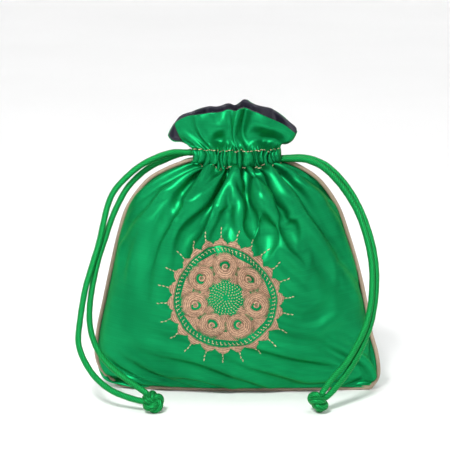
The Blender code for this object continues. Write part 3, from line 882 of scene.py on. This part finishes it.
def thread_material(name, colour, gloss):
    """Embroidery thread: two plies twisted along each stitch, lighter and darker lengths."""
    material, tree, shader = new_material(
        name, 0.42, Metallic=gloss, Sheen_Weight=0.05, Sheen_Tint=scaled(colour, 1.4),
        Specular_Tint=scaled(colour, 1.6),
    )
    ply = stripes(tree, place(tree, "UV", (1.0, 1.0, 1.0), 0.7), 420.0, 0.5)
    patch = noise(tree, place(tree, "Object", (1.0, 1.0, 1.0)), 900.0, 2.0)
    value = mean(tree, ply, 0.35, patch, 0.65)
    shade = tone(tree, value, scaled(colour, 0.42), scaled(colour, 1.55), 0.36, 0.66)
    tree.links.new(shade, shader.inputs["Base Color"])
    bump(tree, shader, ply, 0.00012)
    return material


def twill_material(name, colour, roughness, twill):
    """Plain matt cloth with a diagonal twill line, its shade uneven along the weft."""
    material, tree, shader = new_material(
        name, roughness, Sheen_Weight=0.1, Sheen_Roughness=0.5, Sheen_Tint=scaled(colour, 2.0),
    )
    lines = stripes(tree, place(tree, "UV", (1.0, 1.0, 1.0), 0.8), twill, 0.4)
    cloud = noise(tree, place(tree, "UV", (300.0, 900.0, 1.0)), 1.0, 3.0)
    shade = tone(tree, mean(tree, lines, 0.5, cloud, 0.5), scaled(colour, 0.78), scaled(colour, 1.2))
    tree.links.new(shade, shader.inputs["Base Color"])
    bump(tree, shader, lines, 0.00006)
    return material


def finish_of(slot_name):
    """The material of one of the record's slots, made once."""
    if slot_name in finishes:
        return finishes[slot_name]
    colours = bpy.context.scene.pouch_colours
    name = slot_name + "_finish"
    if slot_name == "green_satin":
        made = satin_material(name, colours.satin, 1.0)
    elif slot_name == "green_cord":
        made = cord_material(name, colours.cord)
    elif slot_name == "gold_thread":
        made = thread_material(name, colours.gold_thread, 0.15)
    elif slot_name == "rose_tan_thread":
        made = thread_material(name, colours.tan_thread, 0.1)
    elif slot_name == "tan_piping":
        made = twill_material(name, colours.piping, 0.62, 560.0)
    else:
        made = twill_material(name, colours.lining, 0.5, 620.0)
    finishes[slot_name] = made
    return made


def finish_piece(piece, slot_name, nodes=()):
    """Give a piece its slot's material and hide the frame's nodes that it stands for."""
    piece.data.materials.append(finish_of(slot_name))
    if nodes:
        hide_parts(*nodes)


def thicken(piece, thickness, subdivide):
    """Live modifiers of a cloth piece: rounder folds, then a wall on its inner side."""
    if subdivide:
        rounder = piece.modifiers.new("rounder_folds", "SUBSURF")
        rounder.levels = rounder.render_levels = 1
    wall = piece.modifiers.new("cloth_thickness", "SOLIDIFY")
    wall.thickness = thickness
    wall.offset = -1.0


def spread_at_mouth(piece):
    """Bake the piece's place into its mesh."""
    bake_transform(piece)


# ---------------------------------------------------------------- stitches
def stitches(name, rows, columns, width, height, side=-1.0, lift=0.12, arch=0.22):
    """One mesh of many raised stitches lying on a panel.

    rows and columns hold each stitch's two ends as places on the panel's grid.  Between
    them four rings of six points follow the cloth: the cross-section is an ellipse that
    narrows to both ends, and the middle of a stitch arches above the cloth.
    """
    share = np.array([0.0, 0.28, 0.72, 1.0])
    narrow = np.array([0.35, 1.0, 1.0, 0.35])
    middle = np.sin(math.pi * share)
    stitch_rows = rows[:, :1] + (rows[:, 1:] - rows[:, :1]) * share
    stitch_columns = columns[:, :1] + (columns[:, 1:] - columns[:, :1]) * share
    lifts = np.broadcast_to(lift + arch * middle, stitch_rows.shape)
    centre, normal = on_panel(side, stitch_rows, stitch_columns, lifts)
    forward = unit(np.gradient(centre, axis=1))
    sideways = unit(np.cross(normal, forward))
    angles = np.linspace(0.0, 2.0 * math.pi, 6, endpoint=False)
    ring = (
        0.5 * width * np.cos(angles)[:, None] * sideways[:, :, None]
        + 0.5 * height * np.sin(angles)[:, None] * normal[:, :, None]
    )
    points = centre[:, :, None] + narrow[:, None, None] * ring
    one = grid_quads(4, 6, around=True)
    caps = np.array([[5, 4, 1, 0], [4, 3, 2, 1], [18, 19, 22, 23], [19, 20, 21, 22]])
    one = np.vstack((one, caps))
    quads = (one[None] + 24 * np.arange(len(rows))[:, None, None]).reshape(-1, 4)
    reach = np.linalg.norm(centre[:, -1] - centre[:, 0], axis=-1)[:, None] * share
    turn = np.broadcast_to(angles * 0.5 * width, (len(rows), 4, 6))
    uv = np.stack((np.broadcast_to(reach[..., None], turn.shape), turn), axis=-1) * MM
    return mesh_object(name, points, quads, uv)


def medallion_places(points):
    """Grid rows and columns of places given in millimetres from the medallion's centre."""
    grid = draped(-1.0)
    middle_column = COLUMNS // 2
    centre_row = np.interp(MEDALLION_HEIGHT, grid[:BODY_ROWS, middle_column, 2], np.arange(BODY_ROWS))
    centre_column = np.interp(MEDALLION_X, grid[int(centre_row), :, 0], np.arange(COLUMNS))
    rows = centre_row + points[..., 1] * (BODY_ROWS - 1) / FRONT_BODY_HEIGHT
    columns = centre_column + points[..., 0] * (COLUMNS - 1) / CUT_WIDTH
    return rows, columns


def polar(radius, angle):
    """Flat places from radius and angle."""
    return np.stack((radius * np.cos(angle), radius * np.sin(angle)), axis=-1)


def embroider(name, ends, size, slot_name, nodes=()):
    """Stitches between flat places round the medallion's centre, riding on the sack."""
    rows, columns = medallion_places(np.stack(ends, axis=1))
    piece = stitches(name, rows, columns, *size)
    finish_piece(piece, slot_name, nodes)
    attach(piece, "sack")


def sun_ring(rays):
    """Ends of the ring's stitches: radial, leaning towards the point under each ray."""
    angle = np.linspace(0.0, 2.0 * math.pi, rays * 14, endpoint=False)
    along_scallop = (angle * rays / (2.0 * math.pi) + 0.5) % 1.0
    point = 1.0 - np.abs(2.0 * along_scallop - 1.0)
    jitter = np.random.default_rng(11).uniform(-0.35, 0.35, len(angle))
    outer = RING_VALLEY + (RING_PEAK - RING_VALLEY) * point ** 1.1 + jitter
    lean = (0.5 - along_scallop) * 0.09
    return polar(RING_INNER, angle - lean * 0.5), polar(outer, angle + lean)


def sun_rays(rays):
    """Ends of the rays' dashes: three running stitches outwards from each point."""
    angle = np.repeat(np.arange(rays) * 2.0 * math.pi / rays, 3)
    order = np.tile(np.arange(3), rays)
    step = (RAY_TIP - RING_PEAK + 0.4) / 3.0
    start = RING_PEAK - 0.4 + order * step
    rng = np.random.default_rng(5)
    drift = rng.normal(0.0, 0.006, len(angle))
    turned = angle + drift + rng.normal(0.0, 0.004, len(angle))
    return polar(start, angle + drift), polar(start + step * 0.8, turned)


def ladder_ring():
    """Ends of the ladder inside the ring: dashes round it, and ticks between them."""
    angle = np.arange(LADDER_STEPS) * 2.0 * math.pi / LADDER_STEPS
    width = 0.62 * 2.0 * math.pi / LADDER_STEPS
    starts = polar(LADDER_RADIUS, angle), polar(LADDER_FOOT, angle)
    ends = polar(LADDER_RADIUS, angle + width), polar(LADDER_TOP, angle + 0.3 * width)
    return np.vstack(starts), np.vstack(ends)


def swirl_bosses(count):
    """Ends of the swirls' stitches.

    Round each boss stitches run outwards from a curl to the edge of its share of the ring.
    A C-shaped opening is left round a small heart of stitches, and longer lengths laid
    round the medallion fill the corners between neighbours.
    """
    starts, ends = [], []
    rng = np.random.default_rng(3)
    for boss in range(count):
        turn = 2.0 * math.pi * (boss / count) + math.pi / 2.0
        centre = polar(BOSS_RADIUS, turn)
        angle = np.linspace(0.0, 2.0 * math.pi, STITCHES_IN_BOSS, endpoint=False)
        away = np.cos(angle - turn)
        outer = BOSS_REACH + 0.2 * np.clip(away, 0.0, 1.0) - 0.7 * np.clip(-away, 0.0, 1.0)
        outer += rng.uniform(-0.3, 0.4, len(angle))
        opening = np.clip(0.5 + 1.3 * np.sin(angle - 1.9 * boss), 0.0, 1.0)
        inner = 1.75 + 1.15 * opening + rng.uniform(-0.15, 0.15, len(angle))
        starts.append(centre + polar(inner, angle))
        ends.append(centre + polar(outer, angle + 0.10))
        heart = np.linspace(0.0, 5.2, STITCHES_IN_HEART) + 1.9 * boss
        starts.append(centre + polar(0.35, heart))
        ends.append(centre + polar(1.45 + 0.5 * np.linspace(0.0, 1.0, STITCHES_IN_HEART), heart + 0.2))
        between = turn + math.pi / count
        radius = np.concatenate((np.linspace(17.6, 22.4, 9), np.linspace(9.0, 12.2, 6)))
        span = np.where(radius > 15.0, 0.10 + 0.035 * (radius - 17.6), 0.28 - 0.05 * (radius - 9.0))
        drift = rng.normal(0.0, 0.01, len(radius))
        starts.append(polar(radius, between - span + drift))
        ends.append(polar(radius, between + span + drift))
    return np.vstack(starts), np.vstack(ends)


def rosette():
    """Ends of the heart of the medallion: rings of short dashes, each ring leaning over."""
    starts, ends = [], []
    for ring, radius in enumerate(ROSETTE_RINGS):
        count = int(2.0 * math.pi * radius / ROSETTE_SPACING)
        angle = np.arange(count) * 2.0 * math.pi / count + 0.37 * ring
        lean = 0.55 / radius * (1.0 if ring % 2 else -0.4)
        starts.append(polar(radius - 0.33, angle))
        ends.append(polar(radius + 0.33, angle + lean))
    return np.vstack(starts), np.vstack(ends)


# ---------------------------------------------------------------- cords
def knot_path(centre, turn, tilt):
    """Closed path of a button knot: it winds twice round a ring while it dips five times."""
    angle = np.linspace(0.0, 2.0 * math.pi, 181)
    radius = 2.6 + 1.45 * np.cos(5.0 * angle)
    path = np.stack((
        radius * np.cos(2.0 * angle), radius * np.sin(2.0 * angle), 1.75 * np.sin(5.0 * angle),
    ), axis=1)
    lean = np.array(Matrix.Rotation(tilt, 3, "X"))
    spin = np.array(Matrix.Rotation(turn, 3, "Z"))
    return path @ lean.T @ spin.T + np.array(centre)


def closed_tube(path, radius, sides):
    """Tube round a closed path; its ring is turned by the direction from the path's middle."""
    loop = path[:-1]
    forward = unit(np.roll(loop, -1, axis=0) - np.roll(loop, 1, axis=0))
    outward = loop - loop.mean(axis=0)
    first = unit(outward - (outward * forward).sum(axis=1, keepdims=True) * forward)
    second = np.cross(forward, first)
    angles = np.linspace(0.0, 2.0 * math.pi, sides, endpoint=False)
    ring = (
        np.cos(angles)[None, :, None] * first[:, None]
        + np.sin(angles)[None, :, None] * second[:, None]
    )
    points = loop[:, None] + radius * ring
    numbers = np.arange(len(loop) * sides).reshape(len(loop), sides)
    ahead, right = np.roll(numbers, -1, axis=0), np.roll(numbers, -1, axis=1)
    corner = np.roll(ahead, -1, axis=1)
    quads = np.stack((numbers, right, corner, ahead), axis=-1).reshape(-1, 4)
    reach = np.broadcast_to(along(loop)[:, None], (len(loop), sides))
    uv = np.stack((reach, np.broadcast_to(angles * radius, reach.shape)), axis=-1) * MM
    return points.reshape(-1, 3), quads, uv.reshape(-1, 2)


def cord_piece(name, path, radius, reference=(0.0, 1.0, 0.3)):
    """A cord's tube, its radius uneven by a few hundredths."""
    reach = along(path)
    uneven = radius * (1.0 + 0.02 * np.sin(reach * 0.9) + 0.015 * np.sin(reach * 2.3 + 1.0))
    points, quads, uv = tube(path, uneven, 20, np.array(reference))
    return mesh_object(name, points, quads, uv)


def strand(name, route, knot):
    """A free strand from its exit to its knot."""
    diameter = bpy.context.scene.pouch_sizes.cord_diameter
    knot = np.array(knot)
    last = knot + 2.4 * unit(np.array(route[-1]) - knot)
    path = resample(spline(route + (tuple(last),), 10), 220)
    piece = cord_piece(name + "_satin_cord", path, diameter / MM / 2.0)
    finish_piece(piece, "green_cord", (name,))
    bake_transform(piece)


def channel_run(name, side, route_start, height, left_exit):
    """The half loop of a cord inside the channel, from its exit to the far side."""
    sign = -1.0 if left_exit else 1.0
    angle = np.linspace(0.28, math.pi, 30)
    loop = np.stack((
        sign * LOOP_HALF_WIDTH * np.cos(angle), side * LOOP_HALF_DEPTH * np.sin(angle),
        np.full(30, height),
    ), axis=1)
    way_out = np.array((route_start, (sign * 21.2, side * 2.0, height)))
    path = resample(spline(np.vstack((way_out, loop)), 6), 110)
    return cord_piece(name, path, CORD_DIAMETER / 2.0 - 0.05, (0.0, 0.0, 1.0))


# ---------------------------------------------------------------- settings
def length_property(name, description, default, lowest, highest):
    """A length in metres that the sidebar shows in the scene's unit."""
    return FloatProperty(
        name=name, description=description, default=default, min=lowest, max=highest,
        precision=5, unit="LENGTH",
    )


def colour_property(name, description, red, green, blue):
    """A colour with full cover."""
    return FloatVectorProperty(
        name=name, description=description, subtype="COLOR", size=4,
        default=(red, green, blue, 1.0), min=0.0, max=1.0,
    )


class PouchSizes(bpy.types.PropertyGroup):
    """Sizes of the pouch's cloth, cords and embroidery."""
    satin_thickness: length_property(
        "Satin thickness", "Thickness of the green satin", 0.00035, 0.0001, 0.001,
    )
    lining_thickness: length_property(
        "Lining thickness", "Thickness of the dark lining", 0.0003, 0.0001, 0.001,
    )
    cord_diameter: length_property(
        "Cord diameter", "Diameter of the drawstrings", CORD_DIAMETER * MM, 0.001, 0.006,
    )
    piping_diameter: length_property(
        "Piping diameter", "Diameter of the piping in the seams", 0.0021, 0.001, 0.004,
    )
    rays: IntProperty(
        name="Rays", description="Number of rays round the embroidered sun", default=23, min=3, max=60,
    )
    swirls: IntProperty(
        name="Swirls", description="Number of swirls in the embroidered ring", default=7, min=3, max=12,
    )


class PouchColours(bpy.types.PropertyGroup):
    """Colours of the pouch's cloth, cords and threads."""
    satin: colour_property("Satin", "Colour of the outer satin", 0.006, 0.262, 0.084)
    lining: colour_property("Lining", "Colour of the lining", 0.014, 0.013, 0.026)
    piping: colour_property("Piping", "Colour of the piping", 0.36, 0.265, 0.19)
    tan_thread: colour_property(
        "Tan thread", "Colour of the embroidery's main thread", 0.40, 0.250, 0.165,
    )
    gold_thread: colour_property("Gold thread", "Colour of the pale gold thread", 0.58, 0.46, 0.29)
    cord: colour_property("Cord", "Colour of the drawstrings", 0.009, 0.25, 0.058)


# ---------------------------------------------------------------- stage and cloth pieces
def studio_floor():
    """Pale floor: a flat disc that turns up into a round wall by a quarter circle.

    The wall's glow grows with its height, and is stronger behind the pouch than in front.
    """
    turn = np.linspace(0.0, math.pi / 2.0, 24)[1:]
    edge = FLOOR_RADIUS + FLOOR_CURVE
    radius = np.concatenate(((0.5, 600.0, FLOOR_RADIUS), FLOOR_RADIUS + FLOOR_CURVE * np.sin(turn), (edge,)))
    height = np.concatenate((np.zeros(3), FLOOR_CURVE - FLOOR_CURVE * np.cos(turn), (WALL_HEIGHT,)))
    angle = np.linspace(0.0, 2.0 * math.pi, 96, endpoint=False)
    bowl = np.empty((len(radius), len(angle), 3))
    bowl[..., 0] = radius[:, None] * np.cos(angle)
    bowl[..., 1] = radius[:, None] * np.sin(angle)
    bowl[..., 2] = height[:, None]
    floor = mesh_object("floor", bowl, grid_quads(len(radius), len(angle), around=True)[:, ::-1])
    material, tree, shader = new_material("pale_floor", 0.7, Emission_Color=(1.0, 1.0, 1.0, 1.0))
    coordinates = place(tree, "Object", (1.0, 1.0, 1.0))
    shade = tone(tree, noise(tree, coordinates, 3.0), (0.93, 0.93, 0.93, 1.0), (0.97, 0.97, 0.97, 1.0))
    tree.links.new(shade, shader.inputs["Base Color"])
    position = add_node(tree, "ShaderNodeSeparateXYZ", (("Vector", coordinates),)).outputs
    glow = add_node(tree, "ShaderNodeMapRange", (
        ("Value", position["Z"]), ("From Min", 0.0), ("From Max", 0.35),
        ("To Min", 0.0), ("To Max", WALL_GLOW),
    )).outputs["Result"]
    behind = add_node(tree, "ShaderNodeMapRange", (
        ("Value", position["Y"]), ("From Min", -1.4), ("From Max", 1.2),
        ("To Min", GLOW_IN_FRONT), ("To Max", 1.0),
    )).outputs["Result"]
    tree.links.new(math_node(tree, "MULTIPLY", glow, behind), shader.inputs["Emission Strength"])
    floor.data.materials.append(material)
    return floor


def cloth_piece(name, grid, side, slot_name, nodes, thickness, subdivide):
    """A panel or its lining as a mesh from its grid."""
    quads = grid_quads(*grid.shape[:2])
    piece = mesh_object(name, grid, quads if side < 0 else quads[:, ::-1], cloth[side][1] * MM)
    finish_piece(piece, slot_name, nodes)
    thicken(piece, thickness, subdivide)
    spread_at_mouth(piece)


# ---------------------------------------------------------------- operators
class POUCH_OT_stage(bpy.types.Operator):
    """Make the pale floor, the soft studio light and the camera"""
    bl_idname = "pouch.stage"
    bl_label = "Stage"

    def execute(self, context):
        scene = context.scene
        floor = studio_floor()
        world = bpy.data.worlds.new("soft_studio")
        world.use_nodes = True
        background = world.node_tree.nodes["Background"]
        background.inputs["Color"].default_value = (1.0, 1.0, 1.0, 1.0)
        background.inputs["Strength"].default_value = 0.12
        scene.world = world
        scene.view_settings.view_transform = "Standard"
        for name, position, size, power in LIGHTS:
            data = bpy.data.lights.new(name, "AREA")
            data.shape = "DISK"
            data.size = size
            data.energy = power
            light = bpy.data.objects.new(name, data)
            light.location = position
            aim = Vector(LIGHT_AIM) - light.location
            light.rotation_euler = aim.to_track_quat("-Z", "Y").to_euler()
            scene.collection.objects.link(light)
        lens = bpy.data.cameras.new("camera")
        lens.lens = CAMERA_LENS
        lens.sensor_width = 36.0
        camera = bpy.data.objects.new("camera", lens)
        camera.location = CAMERA_PLACE
        aim = Vector(CAMERA_AIM) - camera.location
        camera.rotation_euler = aim.to_track_quat("-Z", "Y").to_euler()
        scene.collection.objects.link(camera)
        scene.camera = camera
        return {"FINISHED"}


class POUCH_OT_knots(bpy.types.Operator):
    """Make the button knot on each pair of strands"""
    bl_idname = "pouch.knots"
    bl_label = "Knots"

    def execute(self, context):
        radius = context.scene.pouch_sizes.cord_diameter / MM / 2.0
        for side, centre, turn in (("left", LEFT_KNOT, 0.5), ("right", RIGHT_KNOT, 1.9)):
            points, quads, uv = closed_tube(knot_path(centre, turn, 0.9), 1.16 * radius, 18)
            points[:, 2] = np.maximum(points[:, 2], 0.05)
            piece = mesh_object(side + "_button_knot", points, quads, uv)
            finish_piece(piece, "green_cord", (side + "_knot",))
            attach(piece, side + "_knot_end")
        return {"FINISHED"}


class POUCH_OT_cords(bpy.types.Operator):
    """Make the four free strands and the cords inside the channel"""
    bl_idname = "pouch.cords"
    bl_label = "Cords"

    def execute(self, context):
        for side, where, route, knot in (
            ("left", "front", LEFT_FRONT_STRAND, LEFT_KNOT),
            ("left", "back", LEFT_BACK_STRAND, LEFT_KNOT),
            ("right", "front", RIGHT_FRONT_STRAND, RIGHT_KNOT),
            ("right", "back", RIGHT_BACK_STRAND, RIGHT_KNOT),
        ):
            name = side + "_cord_" + where
            strand(name + "_strand", route, knot)
            sign = -1.0 if where == "front" else 1.0
            run = channel_run(name + "_in_channel", sign, route[0], route[0][2], side == "left")
            finish_piece(run, "green_cord", (name + "_run",))
            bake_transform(run)
        return {"FINISHED"}


class POUCH_OT_satin(bpy.types.Operator):
    """Drape and gather the two green satin panels"""
    bl_idname = "pouch.satin"
    bl_label = "Satin panels"

    def execute(self, context):
        thickness = context.scene.pouch_sizes.satin_thickness
        for side, name in ((-1.0, "front"), (1.0, "back")):
            nodes = (name + "_panel", name + "_channel", name + "_ruffle")
            cloth_piece(name + "_satin", draped(side), side, "green_satin", nodes, thickness, True)
        return {"FINISHED"}


class POUCH_OT_lining(bpy.types.Operator):
    """Lay the dark lining inside each panel"""
    bl_idname = "pouch.lining"
    bl_label = "Lining"

    def execute(self, context):
        thickness = context.scene.pouch_sizes.lining_thickness
        for side, name in ((-1.0, "front"), (1.0, "back")):
            nodes = (name + "_lining", name + "_channel_lining", name + "_ruffle_lining")
            inner = lining_of(draped(side), side)
            cloth_piece(name + "_inner_cloth", inner, side, "dark_lining", nodes, thickness, False)
        return {"FINISHED"}


class POUCH_OT_piping(bpy.types.Operator):
    """Run the tan piping round the side seams and the bottom seam"""
    bl_idname = "pouch.piping"
    bl_label = "Piping"

    def execute(self, context):
        radius = context.scene.pouch_sizes.piping_diameter / MM / 2.0
        front, back = draped(-1.0), draped(1.0)
        left = spline(LEFT_SEAM + ((-20.0, 0.0, 114.2),), 12)[::-1]
        right = spline(RIGHT_SEAM + ((20.0, 0.0, 114.2),), 12)
        bottom = 0.5 * (front[0] + back[0])
        bottom[:, 1] += 2.4 * np.sin(np.linspace(0.0, math.pi, COLUMNS)) ** 0.5
        path = resample(np.vstack((left[:-1], bottom[2:-2], right[1:])), 480)
        forward = unit(np.gradient(path, axis=0))
        away = path - np.array((0.0, 2.0, 55.0))
        away = unit(away - (away * forward).sum(axis=1, keepdims=True) * forward)
        path = path + away * (radius * 0.85)
        path[:, 2] = np.maximum(path[:, 2], radius + 0.08)
        points, quads, uv = tube(path, radius, 14, away)
        piece = mesh_object("seam_piping", points, quads, uv)
        finish_piece(piece, "tan_piping", ("piping",))
        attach(piece, "sack")
        return {"FINISHED"}


class POUCH_OT_embroidery(bpy.types.Operator):
    """Sew the sun medallion on the front"""
    bl_idname = "pouch.embroidery"
    bl_label = "Embroidery"

    def execute(self, context):
        sizes = context.scene.pouch_sizes
        for name, ends, size, slot_name, nodes in (
            ("sun_ring", sun_ring(sizes.rays), RING_STITCH, "rose_tan_thread", ("sun_ring_embroidery",)),
            ("sun_ray", sun_rays(sizes.rays), RAY_STITCH, "gold_thread", ()),
            ("ladder_ring", ladder_ring(), LADDER_STITCH, "gold_thread", ("chain_stitch_ring",)),
            ("swirl", swirl_bosses(sizes.swirls), SWIRL_STITCH, "rose_tan_thread", (
                "swirl_ring_embroidery",
            )),
            ("rosette", rosette(), ROSETTE_STITCH, "gold_thread", ("centre_rosette_embroidery",)),
        ):
            embroider(name + "_stitches", ends, size, slot_name, nodes)
        return {"FINISHED"}


class POUCH_OT_channel_stitching(bpy.types.Operator):
    """Sew the running stitches along the drawstring channel"""
    bl_idname = "pouch.channel_stitching"
    bl_label = "Channel stitching"

    def execute(self, context):
        for side, name in ((-1.0, "front"), (1.0, "back")):
            column = np.linspace(3.0, COLUMNS - 6.0, CHANNEL_STITCHES)
            columns = np.stack((column, column + 2.4), axis=1)
            low = np.full((CHANNEL_STITCHES, 2), BODY_ROWS - 1.4)
            high = np.full((CHANNEL_STITCHES, 2), BODY_ROWS + CHANNEL_ROWS - 1.2)
            piece = stitches(
                name + "_channel_stitches", np.vstack((low, high)), np.vstack((columns, columns)),
                *CHANNEL_STITCH, side,
            )
            finish_piece(piece, "gold_thread", (name + "_channel_thread",))
            spread_at_mouth(piece)
        return {"FINISHED"}


class POUCH_PT_panel(bpy.types.Panel):
    """Sizes, colours and pieces of the pouch"""
    bl_idname = "POUCH_PT_panel"
    bl_label = "Satin pouch"
    bl_space_type = "VIEW_3D"
    bl_region_type = "UI"
    bl_category = "Pouch"

    def draw(self, context):
        for group in (context.scene.pouch_sizes, context.scene.pouch_colours):
            box = self.layout.box()
            for name in group.__annotations__:
                box.prop(group, name)
        for step in STEPS:
            self.layout.operator(step.bl_idname)


STEPS = (
    POUCH_OT_stage, POUCH_OT_knots, POUCH_OT_cords, POUCH_OT_satin, POUCH_OT_lining,
    POUCH_OT_piping, POUCH_OT_embroidery, POUCH_OT_channel_stitching,
)
CLASSES = (PouchSizes, PouchColours) + STEPS + (POUCH_PT_panel,)


def register():
    """Register the classes and hang their settings on the scene."""
    for item in CLASSES:
        bpy.utils.register_class(item)
    bpy.types.Scene.pouch_sizes = PointerProperty(type=PouchSizes)
    bpy.types.Scene.pouch_colours = PointerProperty(type=PouchColours)


def unregister():
    """Take the settings and the classes away again."""
    del bpy.types.Scene.pouch_colours
    del bpy.types.Scene.pouch_sizes
    for item in reversed(CLASSES):
        bpy.utils.unregister_class(item)


def main():
    """Make every piece in order."""
    register()
    bpy.ops.pouch.stage()
    bpy.ops.pouch.knots()
    bpy.ops.pouch.cords()
    bpy.ops.pouch.satin()
    bpy.ops.pouch.lining()
    bpy.ops.pouch.piping()
    bpy.ops.pouch.embroidery()
    bpy.ops.pouch.channel_stitching()


if __name__ == "__main__":
    main()
